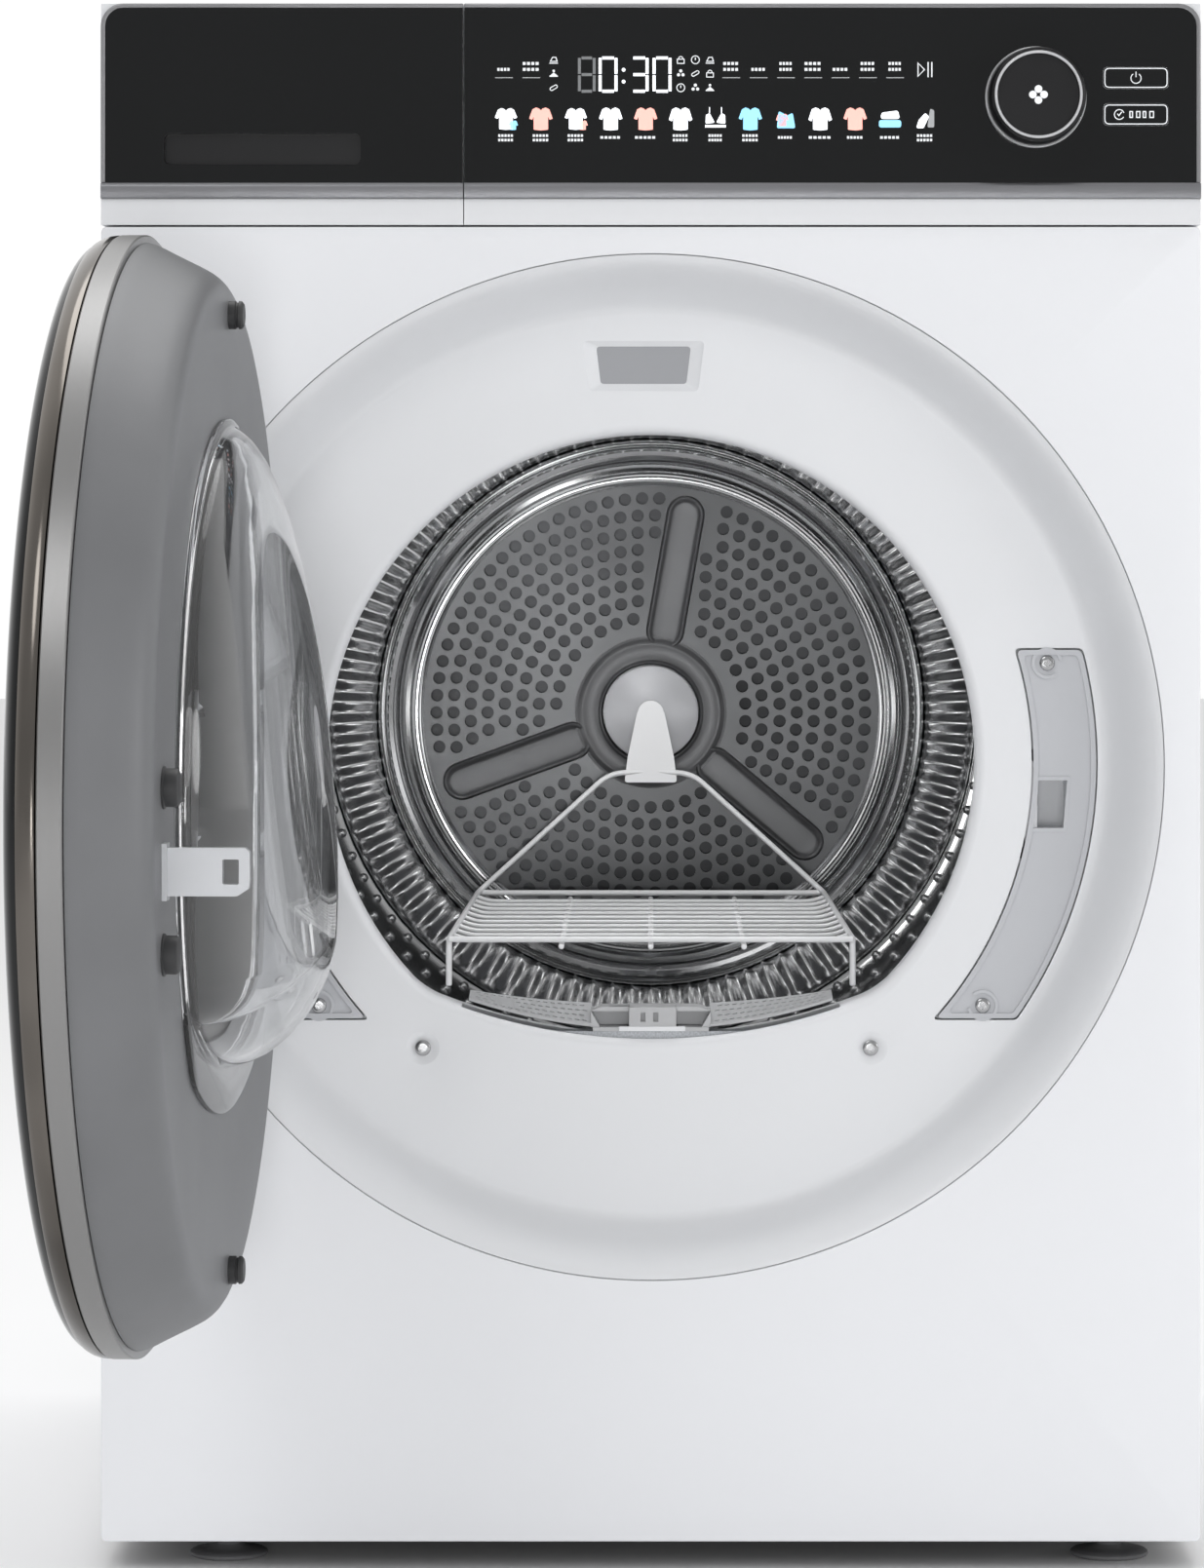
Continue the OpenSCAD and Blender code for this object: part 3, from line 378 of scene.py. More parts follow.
def inside(p, loop):
    """True if a 2D point lies in a closed outline."""
    odd = False
    for a, b in zip(loop, loop[1:] + loop[:1]):
        if (a[1] > p[1]) != (b[1] > p[1]) and p[0] < (b[0] - a[0]) * (p[1] - a[1]) / (b[1] - a[1]) + a[0]:
            odd = not odd
    return odd


def region(bm, outer, holes, place, inner=()):
    """Fills an outline with holes; place maps a 2D point to 3D. Returns the open edges' point pairs."""
    points, edges, owner = [], [], []
    for k, loop in enumerate([outer, *holes]):
        start = len(points)
        points += [Vector(p) for p in loop]
        owner += [k] * len(loop)
        edges += [(start + i, start + (i + 1) % len(loop)) for i in range(len(loop))]
    points += [Vector(p) for p in inner]
    owner += [0] * len(inner)
    verts, _, faces, source, *_ = delaunay_2d_cdt(points, edges, [], 1, 1e-5)
    made = [bm.verts.new(place(v)) for v in verts]
    sides = {}
    for f in faces:
        loops = {owner[source[i][0]] for i in f}
        if len(loops) == 1 and 0 not in loops:
            middle = sum((verts[i] for i in f), Vector((0, 0))) / len(f)
            if inside(middle, list(holes[loops.pop() - 1])):
                continue
        bm.faces.new([made[i] for i in f])
        for i in range(len(f)):
            pair = (f[i], f[(i + 1) % len(f)])
            sides.setdefault(frozenset(pair), []).append(pair)
    for v in made:
        if not v.link_faces:
            bm.verts.remove(v)
    return [(verts[p[0][0]], verts[p[0][1]]) for p in sides.values() if len(p) == 1]


def slab(bm, outer, holes, front, back, inner=()):
    """Adds a solid of an outline with holes between two surfaces; each maps a 2D point to 3D."""
    edges = region(bm, outer, holes, front, inner)
    region(bm, outer, holes, back, inner)
    for a, b in edges:
        bm.faces.new([bm.verts.new(p) for p in (front(a), front(b), back(b), back(a))])


def depth(y):
    """Maps a front-view point to a fixed depth."""
    return lambda p: Vector((p[0], y, p[1]))


def plate(name, outer, holes, y0, y1, material, body, stands_for=(), bevel=0.0):
    """A flat plate in front view, with softly rounded edges."""
    bm = bmesh.new()
    slab(bm, outer, holes, depth(y0), depth(y1))
    return soften(finish_piece(name, bm, material, body, stands_for), bevel)


def moved(profile, y):
    """Moves an outline of (radius, y) along Y."""
    return [(radius, y + d) for radius, d in profile]


def turned(bm, profile, cz, cx=0.0, steps=160):
    """Adds a closed outline of (radius, y) turned about an axis along Y."""
    rings = []
    for k in range(steps):
        a = 2 * math.pi * k / steps
        rings.append([Vector((cx + p[0] * math.cos(a), p[1], cz + p[0] * math.sin(a))) for p in profile])
    skin(bm, rings, caps=False, closed=True)


def clean(bm):
    """Merges the points on an axis."""
    bmesh.ops.remove_doubles(bm, verts=bm.verts, dist=2e-3)
    bmesh.ops.dissolve_degenerate(bm, edges=bm.edges, dist=1e-4)


def lathe(name, profile, cz, material, body, stands_for=(), place=None, cx=0.0, steps=160):
    """A piece turned about an axis along Y."""
    bm = bmesh.new()
    turned(bm, profile, cz, cx, steps)
    clean(bm)
    return finish_piece(name, bm, material, body, stands_for, place)


def block(bm, lo, hi):
    """Adds a block to a bmesh."""
    x0, y0, z0 = lo
    x1, y1, z1 = hi
    skin(bm, [at_y(((x0, z0), (x1, z0), (x1, z1), (x0, z1)), y) for y in (y0, y1)])


def smooth_path(points, bend, steps=6):
    """Rounds the corners of a 3D path."""
    pts = [Vector(p) for p in points]
    out = [pts[0]]
    for a, b, c in zip(pts, pts[1:], pts[2:]):
        u, v = a - b, c - b
        reach = min(bend, u.length * 0.48, v.length * 0.48)
        s, e = b + u.normalized() * reach, b + v.normalized() * reach
        for k in range(steps + 1):
            t = k / steps
            out.append((1 - t) ** 2 * s + 2 * t * (1 - t) * b + t * t * e)
    out.append(pts[-1])
    return out


def tube(bm, path, radius, sides=14):
    """Adds a round bar along a path, with domed ends."""
    loops, side = [], None
    last = len(path) - 1
    for i, p in enumerate(path):
        t = (path[min(i + 1, last)] - path[max(i - 1, 0)]).normalized()
        side = t.orthogonal().normalized() if side is None else (side - t * side.dot(t)).normalized()
        up = t.cross(side)
        ends = [(0.6, -0.35), (1, 0)] if i == 0 else [(1, 0), (0.6, 0.35)] if i == last else [(1, 0)]
        for size, shift in ends:
            loops.append([p + t * (shift * radius) + (side * math.cos(2 * math.pi * k / sides)
                          + up * math.sin(2 * math.pi * k / sides)) * (radius * size) for k in range(sides)])
    skin(bm, loops)


# ---------- Cabinet front ----------

def front_panel():
    """Sheet front with a round opening, soft edges and folded returns."""
    bm = bmesh.new()

    def edge(inset):
        half, corner = HALF_W - inset, 3.5 - inset * 0.8
        return rect(-half, PANEL_LO.z + inset, half, PANEL_HI.z - inset * 0.6, corner)

    hole = RECESS_HI.x + 0.3
    region(bm, edge(1.0), [circle(0, DOOR_Z, hole + 0.9, ROUND)], depth(FRONT))
    sides = ((1.0, 0), (0.45, 0.15), (0.12, 0.5), (0, 1.1), (0, 14), (1.8, 14), (1.8, 2))
    skin(bm, [at_y(edge(i), FRONT + y) for i, y in sides], caps=False)
    region(bm, edge(1.8), [circle(0, DOOR_Z, hole, ROUND)], depth(FRONT + 2))
    rim = ((0.9, 0), (0.35, 0.15), (0, 0.8), (0, 2))
    skin(bm, [at_y(circle(0, DOOR_Z, hole + g, ROUND), FRONT + y) for g, y in rim], caps=False)
    finish_piece("front_skin", bm, ENAMEL, "cabinet", ["front_panel"])


def crescent(side, less):
    """Outline of a crescent cover, on the right (1) or left (-1)."""
    r0, r1 = 209.5 + less, 245 - less
    z0, z1 = 295 + less - DOOR_Z, 498.5 - less - DOOR_Z

    def angle(z, r):
        return math.degrees(math.asin(z / r))

    pts = arc(0, 0, r1, angle(z0, r1), angle(z1, r1), 28) + arc(0, 0, r0, angle(z1, r0), angle(z0, r0), 28)
    pts = rounded(pts, [4 if i in (0, 28, 29, 57) else 0 for i in range(58)])
    return [Vector((side * p.x, p.y + DOOR_Z)) for p in pts]


WINDOW = [(-37.5, 667.5), (29.5, 667.5), (26, 640), (-34, 640)]
WINDOW_BACK = [(-30, 664.5), (22, 664.5), (19.5, 644), (-27.5, 644)]
DIMPLES = [(-125.2, 279.2), (120.7, 279.2)]
COVER_SCREWS = [(-217.6, 490.6), (217.6, 490.6), (-182.2, 302.6), (182.2, 302.6)]


def recess():
    """Dished recess round the loading opening, with its collar, light window and screw dimples."""
    bm = bmesh.new()
    back = FLOOR + 3
    window, window_back = rounded(WINDOW, 2.5, 4), rounded(WINDOW_BACK, 2, 4)
    seats = [crescent(-1, -0.4), crescent(1, -0.4)]
    holes = [mouth(8), window, *seats, *[circle(x, z, 9.5, 40) for x, z in DIMPLES]]
    region(bm, circle(0, DOOR_Z, 246.5, ROUND), holes, depth(FLOOR))
    holes = [mouth(4), window_back, *seats, *[circle(x, z, 2.6, 40) for x, z in DIMPLES]]
    region(bm, circle(0, DOOR_Z, 250, ROUND), holes, depth(back))
    skin(bm, [at_y(window, FLOOR), at_y(window, FLOOR + 0.5), at_y(window_back, back)], caps=False)
    for seat in seats:
        skin(bm, [at_y(seat, FLOOR), at_y(seat, back)], caps=False)
    dimple = ((9.5, 0), (9.0, 0.1), (5.6, 1.6), (5.2, 1.8), (2.6, 1.8), (2.6, 3))
    for x, z in DIMPLES:
        skin(bm, [at_y(circle(x, z, r, 40), FLOOR + y) for r, y in dimple], caps=False)
    outer = [(246.5, 0), (248.6, -0.5), (250.6, -1.8), (252.4, -3.8), (254.2, -6.4), (257.6, -12.2),
             (261, -19), (264.8, -27.2), (268.6, -34.6), (272.2, -39.8), (275.2, -42.4), (277.6, -43.6),
             (277.6, -38), (272, -32), (265, -12), (256, 0), (250, 3)]
    skin(bm, [at_y(circle(0, DOOR_Z, r, ROUND), FLOOR + y) for r, y in outer], caps=False)
    end = COLLAR - FLOOR
    lip = [(8, 0), (6.2, 0.3), (4.6, 1.2), (3.3, 2.7), (2.4, 4.8), (2, 7.5), (2.2, 10), (4, 34),
           (5, end - 1.2), (5.4, end - 0.3), (6.2, end), (7.6, end), (5.6, 12), (4, 3)]
    skin(bm, [at_y(mouth(g), FLOOR + y) for g, y in lip], caps=False)
    obj = finish_piece("recess_dish", bm, PLASTIC, "cabinet", ["door_recess"], sharp=50)
    slot = bmesh.new()
    block(slot, (-104, FLOOR + 3, 200), (104, FLOOR + 30, 330))
    cut(obj, slot)


def crescent_covers():
    """Crescent covers over the latch and over the hinge, each with a soft raised rim."""
    top = FLOOR - 0.8
    latch_slot = [(212.6, 426.2), (228.6, 426.2), (226.4, 400), (209.6, 400)]
    hinge_slots = [rect(-230, DOOR_Z + z - 5.5, -207.8, DOOR_Z + z + 5.5, 1) for z in (-38, 38)]
    for side, name, slots in ((1, "latch_cover", [latch_slot]), (-1, "hinge_cover", hinge_slots)):
        screws = [p for p in COVER_SCREWS if p[0] * side > 0]
        bm = bmesh.new()
        holes = [*slots, *[circle(x, z, 2.6, 32) for x, z in screws]]
        slab(bm, crescent(side, 0.6), holes, depth(FLOOR + 0.6), depth(FLOOR + 2.4))
        slab(bm, crescent(side, 0.6), [crescent(side, 3.4)], depth(top), depth(FLOOR + 0.8))
        for x, z in screws:
            a = 250 if z > DOOR_Z else 70
            ring = arc(x, z, 8.6, a - 240, a + 60, 30) + arc(x, z, 6.8, a + 60, a - 240, 30)
            slab(bm, ring, [], depth(top + 0.1), depth(FLOOR + 0.8))
        if side > 0:
            frame_of_slot = rounded([(210.6, 428.4), (230.8, 428.4), (228.4, 397.8), (207.4, 397.8)], 2)
            slab(bm, frame_of_slot, [latch_slot], depth(FLOOR), depth(FLOOR + 0.8))
        soften(finish_piece(name + "_rim", bm, COVER, "cabinet", [name]), 0.55, 2)


def screws():
    """Pan-head screws with a hexagon socket, and the rear cover's screws."""
    bm = bmesh.new()

    def screw(x, z, y, r=4.2):
        """Adds one screw whose seat is at y."""
        socket = circle(x, z, 2.1, 6, 15)
        region(bm, circle(x, z, r - 1.1, 24), [socket], depth(y - 2.3))
        head = ((r - 1.1, -2.3), (r - 0.35, -1.9), (r, -1.2), (r, 0))
        skin(bm, [at_y(circle(x, z, a, 24), y + b) for a, b in head], caps=False)
        skin(bm, [at_y(socket, y - 2.3), at_y(socket, y - 0.8)], caps=False)
        for outline, back in ((circle(x, z, r, 24), y), (socket, y - 0.8)):
            bm.faces.new([bm.verts.new(p) for p in at_y(outline, back)])

    for x, z in COVER_SCREWS:
        screw(x, z, FLOOR + 0.5)
    for x, z in DIMPLES:
        screw(x, z, FLOOR + 1.7, 4.4)
    finish_piece("front_screws", bm, SCREW, "cabinet")
    bm = bmesh.new()
    back = node_box("case_screws")[1].y
    for i in range(8):
        a = math.radians(i * 45 + 20)
        x, z = 209 * math.cos(a), DRUM_Z + 209 * math.sin(a)
        skin(bm, [at_y(circle(x, z, r, 20), back + y) for r, y in ((4, -2), (4, -0.8), (3.2, -0.1), (2, 0))])
    finish_piece("back_screws", bm, ZINC, "cabinet", ["case_screws"])


def feet():
    """Levelling feet: a soft-edged foot on a threaded stem."""
    lo, hi = node_box("levelling_feet")
    r = 21.4
    profile = [(0, 0), (19.6, 0), (20.8, 0.4), (r, 1.3), (21.2, 2.4), (20, 3.3), (16, 4), (10, 5), (8, 6.2)]
    profile.append((7, 6.8))
    for i in range(5):
        profile += [(7, 7.2 + i * 1.7), (6.3, 8.05 + i * 1.7)]
    profile += [(6.9, 15.8), (6.9, hi.z), (0, hi.z)]
    turns = [2 * math.pi * i / 64 for i in range(64)]
    places = [(x, y) for y in (lo.y + r, hi.y - r) for x in (lo.x + r, hi.x - r)]
    for k, (x, y) in enumerate(places):
        bm = bmesh.new()
        loops = [[Vector((x + p * math.cos(a), y + p * math.sin(a), z)) for p, z in profile] for a in turns]
        skin(bm, loops, caps=False, closed=True)
        clean(bm)
        finish_piece("foot_%d" % k, bm, RUBBER, "cabinet", ["levelling_feet"] if k == 0 else ())


# ---------- Control panel ----------

def panel_glass():
    """Black glass with rounded corners, the frame round it and the silver strips."""
    f, top, edge = GLASS_LO.y, GLASS_HI.z, 10
    holes = [circle(KNOB_X, KNOB_Z, 8.6, 40)]
    for z in BUTTONS:
        holes.append(rect(BUTTON_X - 17.9, z - 6.2, BUTTON_X + 17.9, z + 6.2, 3.2))
    x0, x1 = GLASS_LO.x + 0.15, GLASS_HI.x
    face = rounded([(x0, GLASS_LO.z), (x1, GLASS_LO.z), (x1, top), (x0, top)], [0.2, 0.2, edge, 0.2])
    plate("panel_face", face, holes, f, f + 3, BLACK, "cabinet", ["fascia_glass"], 0.5)
    x0, x1 = DRAWER_LO.x, DRAWER_HI.x - 0.1
    pull = rect(-263.3, 761.6, -156.8, 778.8, 4)
    face = rounded([(x0, DRAWER_LO.z), (x1, DRAWER_LO.z), (x1, top), (x0, top)], [0.2, 0.2, 0.2, edge])
    plate("drawer_face", face, [pull], f, f + 3, BLACK, "water_drawer", ["drawer_glass"], 0.5)
    bm = bmesh.new()
    tub = rect(-264.2, 761.2, -156.1, 779.4, 4)
    skin(bm, [at_y(tub, f + 7.4), at_y(tub, f + 2.9), at_y(pull, f + 2.9), at_y(pull, f + 6.8)])
    finish_piece("pull_tub", bm, BLACK_SATIN, "water_drawer")

    def trims(name, x_in, x_out, body, node):
        """Silver strip under the glass, and the thin frame round it."""
        sign = 1 if x_out > x_in else -1
        bm = bmesh.new()
        y, low, z = f - 1, TRIM_LO.z, GLASS_LO.z
        profile = [(f + 3, low), (y + 0.9, low), (y + 0.2, low + 0.5), (y, low + 1.5),
                   (y, z - 2.2), (y + 0.3, z - 0.9), (f, z - 0.1), (f + 3, z - 0.1)]
        skin(bm, [[Vector((x, *p)) for p in profile] for x in sorted((x_in, x_out))])
        finish_piece(name + "_strip", bm, SILVER, body, [node])
        glass_x = x_out - sign * 2.6
        side = 0 if sign > 0 else 180
        r = edge + 2.4
        outer = arc(x_out - sign * r, TRIM_HI.z - r, r, 90, side, 10)
        inner = arc(glass_x - sign * edge, top - edge, edge, side, 90, 10)
        pts = [Vector((x_in, top + 0.05)), Vector((x_in, TRIM_HI.z)), *outer, Vector((x_out, z)),
               Vector((glass_x + sign * 0.05, z)), *[p + Vector((sign * 0.05, 0.05)) for p in inner]]
        plate(name + "_frame", pts, [], f - 0.1, f + 3, FRAME, body, (), 0.6)

    trims("panel", GLASS_LO.x + 0.1, HALF_W, "cabinet", "fascia_trim")
    trims("drawer", DRAWER_HI.x, -HALF_W, "water_drawer", "drawer_trim")


def icons():
    """Generic marks on the glass: a time display, key marks and garment shapes. No lettering."""
    y0, y1 = GLASS_LO.y - 0.12, GLASS_LO.y + 0.05
    sets = {name: bmesh.new() for name in ("lit", "dim", "print", "coral", "sky", "grey")}

    def mark(kind, outline, holes=()):
        slab(sets[kind], outline, holes, depth(y0), depth(y1))

    def bar(kind, x0, z0, x1, z1):
        mark(kind, rect(min(x0, x1), z0, max(x0, x1), z1))

    def patch(kind, x, z, corners, r):
        """A rounded shape given by its corners about a point."""
        mark(kind, rounded([(x + a, z + b) for a, b in corners], r, 4))

    def digit(x, w, segments, kind):
        """Seven-segment digit, with its left edge at x."""
        z, h, t, g = 800.6, 19.6, 1.6, 0.35
        m = z + h / 2
        for name in segments:
            if name in "adg":
                low = {"a": z + h - t, "d": z, "g": m - t / 2}[name]
                bar(kind, x + t + g, low, x + w - t - g, low + t)
            else:
                x0 = x if name in "ef" else x + w - t
                z0, z1 = (m + g, z + h - t / 2) if name in "bf" else (z + t / 2, m - g)
                bar(kind, x0, z0, x0 + t, z1)

    digit(-39.4, 9.6, "abcdefg", "dim")
    digit(-28.2, 10.2, "abcdef", "lit")
    digit(-11.4, 10.2, "abcdg", "lit")
    digit(1.0, 10.2, "abcdef", "lit")
    for z in (806.6, 813.0):
        mark("lit", circle(-14.7, z, 1.0, 14))

    def small_icon(x, z, kind):
        """One of a few simple round, square and house-like marks, about 5 mm high."""
        if kind == 0:
            mark("print", circle(x, z, 2.4, 20), [circle(x, z, 1.9, 20)])
            bar("print", x - 0.25, z - 0.2, x + 0.25, z + 1.3)
        elif kind == 1:
            body = rect(x - 2.1, z - 2.2, x + 2.1, z + 0.6, 0.3)
            mark("print", body, [rect(x - 1.6, z - 1.7, x + 1.6, z + 0.1, 0.2)])
            mark("print", arc(x, z + 0.6, 1.4, 0, 180, 8) + arc(x, z + 0.6, 0.95, 180, 0, 8))
        elif kind == 2:
            bar("print", x - 2.3, z - 2.1, x + 2.3, z - 1.6)
            mark("print", [(x - 2.2, z - 1.1), (x + 2.2, z - 1.1), (x + 1.4, z + 1.6), (x - 0.8, z + 1.6)],
                 [[(x - 1.4, z - 0.6), (x + 1.5, z - 0.6), (x + 1.0, z + 1.1), (x - 0.5, z + 1.1)]])
        elif kind == 3:
            roof = ((-2.3, -1.3), (0, 0.6), (2.3, -1.3), (2.3, -1.8), (-2.3, -1.8))
            mark("print", [(x + a, z + b) for a, b in roof])
            mark("print", circle(x, z + 1.4, 0.7, 12))
        elif kind == 4:
            for k in range(3):
                a = math.radians(90 + 120 * k)
                mark("print", circle(x + 1.4 * math.cos(a), z + 1.4 * math.sin(a), 0.9, 12))
        else:
            mark("print", pill(x, z, 4.8, 2.2, 30, 6), [pill(x, z, 3.8, 1.2, 30, 6)])

    for z, kinds in ((818.4, (2, 1, 0, 2)), (811.0, (3, 4, 5, 1)), (803.3, (5, 0, 4, 3))):
        for x, kind in zip((-52.5, 16.2, 24.1, 32.0), kinds):
            small_icon(x, z, kind)

    def legend(x, half, rows, count, share, height):
        """Rows of short blocks in place of a word, centred on x."""
        step = 2 * half / count
        for z in rows:
            for j in range(count):
                x0 = x - half + j * step
                bar("print", x0, z - height, x0 + step * share, z + height)

    for k, x in enumerate((-79.4, -64.6, 43.5, 58.3, 73.1, 87.8, 102.6, 117.4, 132.1)):
        bar("grey", x - 4.8, 808.5, x + 4.8, 808.95)
        legend(x, 3.6 + (k * 7 % 4) * 0.35, (813.2, 816.4) if k % 3 else (813.2,), 4, 0.7, 0.8)
    mark("print", [(144.2, 817.2), (144.2, 809.0), (148.4, 813.1)],
         [[(144.8, 816.2), (144.8, 810.0), (147.6, 813.1)]])
    for x in (149.6, 151.6):
        bar("print", x, 809.0, x + 0.7, 817.2)

    def shirt(kind, x, z, s=1.0, sleeve=1.0):
        """A simple top with two sleeves, about 12 mm wide."""
        half = [(0.9, 5.6), (2.6, 6.2), (4.6, 5.2), (6.4, -1.5 * sleeve + 1.5), (4.6, -2.2 * sleeve + 1.5),
                (3.9, 1.6), (3.9, -5.8), (0, -6.2)]
        pts = [(x + s * a, z + s * b) for a, b in half]
        pts += [(x - s * a, z + s * b) for a, b in reversed(half[:-1])]
        pts += [(x, z + s * 4.6)]
        mark(kind, rounded(pts, 0.45 * s, 3))

    kinds = ["lit", "coral", "lit", "lit", "coral", "lit", "lit", "sky", "sky", "lit", "coral", "sky", "grey"]
    legend_widths = (4.2, 4.4, 4.4, 5.6, 5.8, 4.2, 3.8, 4.4, 4.0, 6.2, 4.4, 5.4, 4.4)
    for k, kind in enumerate(kinds):
        x, z = -78.3 + 18.88 * k, 786.4
        if k == 6:
            for s in (-1, 1):
                patch(kind, x, z, [(s * 0.3, -2), (s * 5.4, -2.6), (s * 5.2, 2.2), (s * 3.2, 3.2)], 0.8)
                bar(kind, x + s * 3.0, z + 3, x + s * 3.5, z + 6.4)
            bar(kind, x - 5.6, z - 4.6, x + 5.6, z - 3.2)
        elif k == 8:
            shirt("coral", x - 1.6, z - 0.6, 0.55)
            patch(kind, x, z, [(-4.6, -5), (5.4, -5), (4.0, 3.4), (1, 1.8), (-3.6, 4.4)], 0.9)
        elif k == 11:
            patch(kind, x, z, [(-6, -4.6), (6, -4.6), (6, -0.6), (-6, -0.6)], 1.4)
            patch("lit", x, z, [(-5.2, 0), (5.4, 0), (4.2, 4.6), (-4.6, 3.4)], 1.4)
        elif k == 12:
            patch("lit", x, z, [(-4.8, -5), (-0.8, -5), (2.2, 1.2), (0.2, 3.4), (-3.4, -0.6)], 1.0)
            patch(kind, x, z, [(1.2, -4.6), (5, -4.6), (5, 4.6), (2.8, 5.8)], 1.0)
        elif k in (0, 2):
            shirt(kind, x, z, 0.95, 0.6)
            shirt("coral" if k == 2 else "sky", x + 3.8, z - 3.4, 0.42)
        else:
            shirt(kind, x, z, 1.0, 1.3 if k in (5, 9) else 0.9)
        two_rows = k in (0, 1, 2, 5, 6, 7, 12)
        legend(x, legend_widths[k], (777.4, 775.0) if two_rows else (776.4,), 5, 0.72, 0.7)
    # the print and grey marks carry the painted glow of their print finishes
    finishes = {"lit": LIT, "dim": DIM, "print": PRINT_GLOW, "coral": CORAL, "sky": SKY, "grey": GREY_PRINT_GLOW}
    for name, bm in sets.items():
        finish_piece("marks_" + name, bm, finishes[name], "cabinet")


def buttons():
    """Two push buttons with a thin outline and a generic mark."""
    for z, body, node in ((BUTTONS[0], "power_key", "power_button"), (BUTTONS[1], "auto_key", "auto_button")):
        lo, hi = node_box(node)
        y = lo.y

        def key(grow, r):
            return rect(BUTTON_X - 17.1 - grow, z - 5.4 - grow, BUTTON_X + 17.1 + grow, z + 5.4 + grow, r)

        bm = bmesh.new()
        slab(bm, key(0.4, 3), [], depth(y), depth(y + 2.2))
        block(bm, (BUTTON_X - 9, y + 2.1, z - 3), (BUTTON_X + 9, hi.y, z + 3))
        soften(finish_piece(node + "_cap", bm, BLACK, body, [node]), 0.35, 2)
        marks = [(key(0, 2.8), [key(-0.55, 2.25)])]
        if node == "power_button":
            middle = z - 0.2
            ring = arc(BUTTON_X, middle, 3.0, -235, 55, 24) + arc(BUTTON_X, middle, 2.5, 55, -235, 24)
            marks.append((ring, []))
            marks.append((rect(BUTTON_X - 0.25, z + 0.4, BUTTON_X + 0.25, z + 3.4), []))
        else:
            x = BUTTON_X - 9
            tick = ((-1.2, 0.2), (-0.2, -1.1), (1.6, 1.3), (1.1, 1.6), (-0.2, -0.2), (-0.8, 0.6))
            marks.append((arc(x, z, 2.9, 20, 330, 24) + arc(x, z, 2.4, 330, 20, 24), []))
            marks.append(([(x + a, z + b) for a, b in tick], []))
            for k, w in enumerate((2.0, 2.4, 2.0, 2.6)):
                x0 = x + 5.4 + k * 3.6
                opening = rect(x0 + 0.6, z - 1.3, x0 + w - 0.6, z + 1.3)
                marks.append((rect(x0, z - 1.9, x0 + w, z + 1.9, 0.3), [opening]))
        bm = bmesh.new()
        for outline, holes in marks:
            slab(bm, outline, holes, depth(y - 0.1), depth(y + 0.1))
        # the button marks are print with a painted glow
        finish_piece(node + "_mark", bm, PRINT_GLOW, body)


def dial():
    """Programme dial: satin black body, a bright ring at its foot and another round its recessed face."""
    y0, y1, back = KNOB_LO.y, GLASS_LO.y, KNOB_HI.y
    body = moved([(0, 3), (21.6, 3), (22.2, 2.4), (22.6, 0.6), (24.2, 0.25), (25, 0.7), (25.6, 2)], y0)
    body += moved([(25.7, -6), (26.2, -5), (26.2, -0.6), (8, -0.6), (8, 5), (3, 5)], y1)
    body += [(3, back), (0, back)]
    foot = moved([(26.15, -4.8), (26.8, -5), (27.3, -4.4), (27.4, -0.6), (26.15, -0.6)], y1)
    inner = moved([(22.3, 2.6), (22.1, 0.4), (22.5, 0), (23.3, 0), (23.7, 0.45), (23.4, 1.2)], y0)
    pieces = (("dial_body", body, BLACK_SATIN, ["knob"]), ("dial_ring", foot, RING, ()),
              ("dial_inner_ring", inner, RING, ()))
    for name, profile, material, replaced in pieces:
        lathe(name, profile, KNOB_Z, material, "programme_knob", replaced, cx=KNOB_X, steps=128)
    bm = bmesh.new()
    for dx, dz in ((0, 3), (3, 0), (0, -3), (-3, 0)):
        slab(bm, circle(KNOB_X + dx, KNOB_Z + dz, 2.08, 20), [], depth(y0 + 2.85), depth(y0 + 3.1))
    # the dial mark is print with a painted glow
    finish_piece("dial_mark", bm, PRINT_GLOW, "programme_knob")


# ---------- Door, built closed and swung open ----------

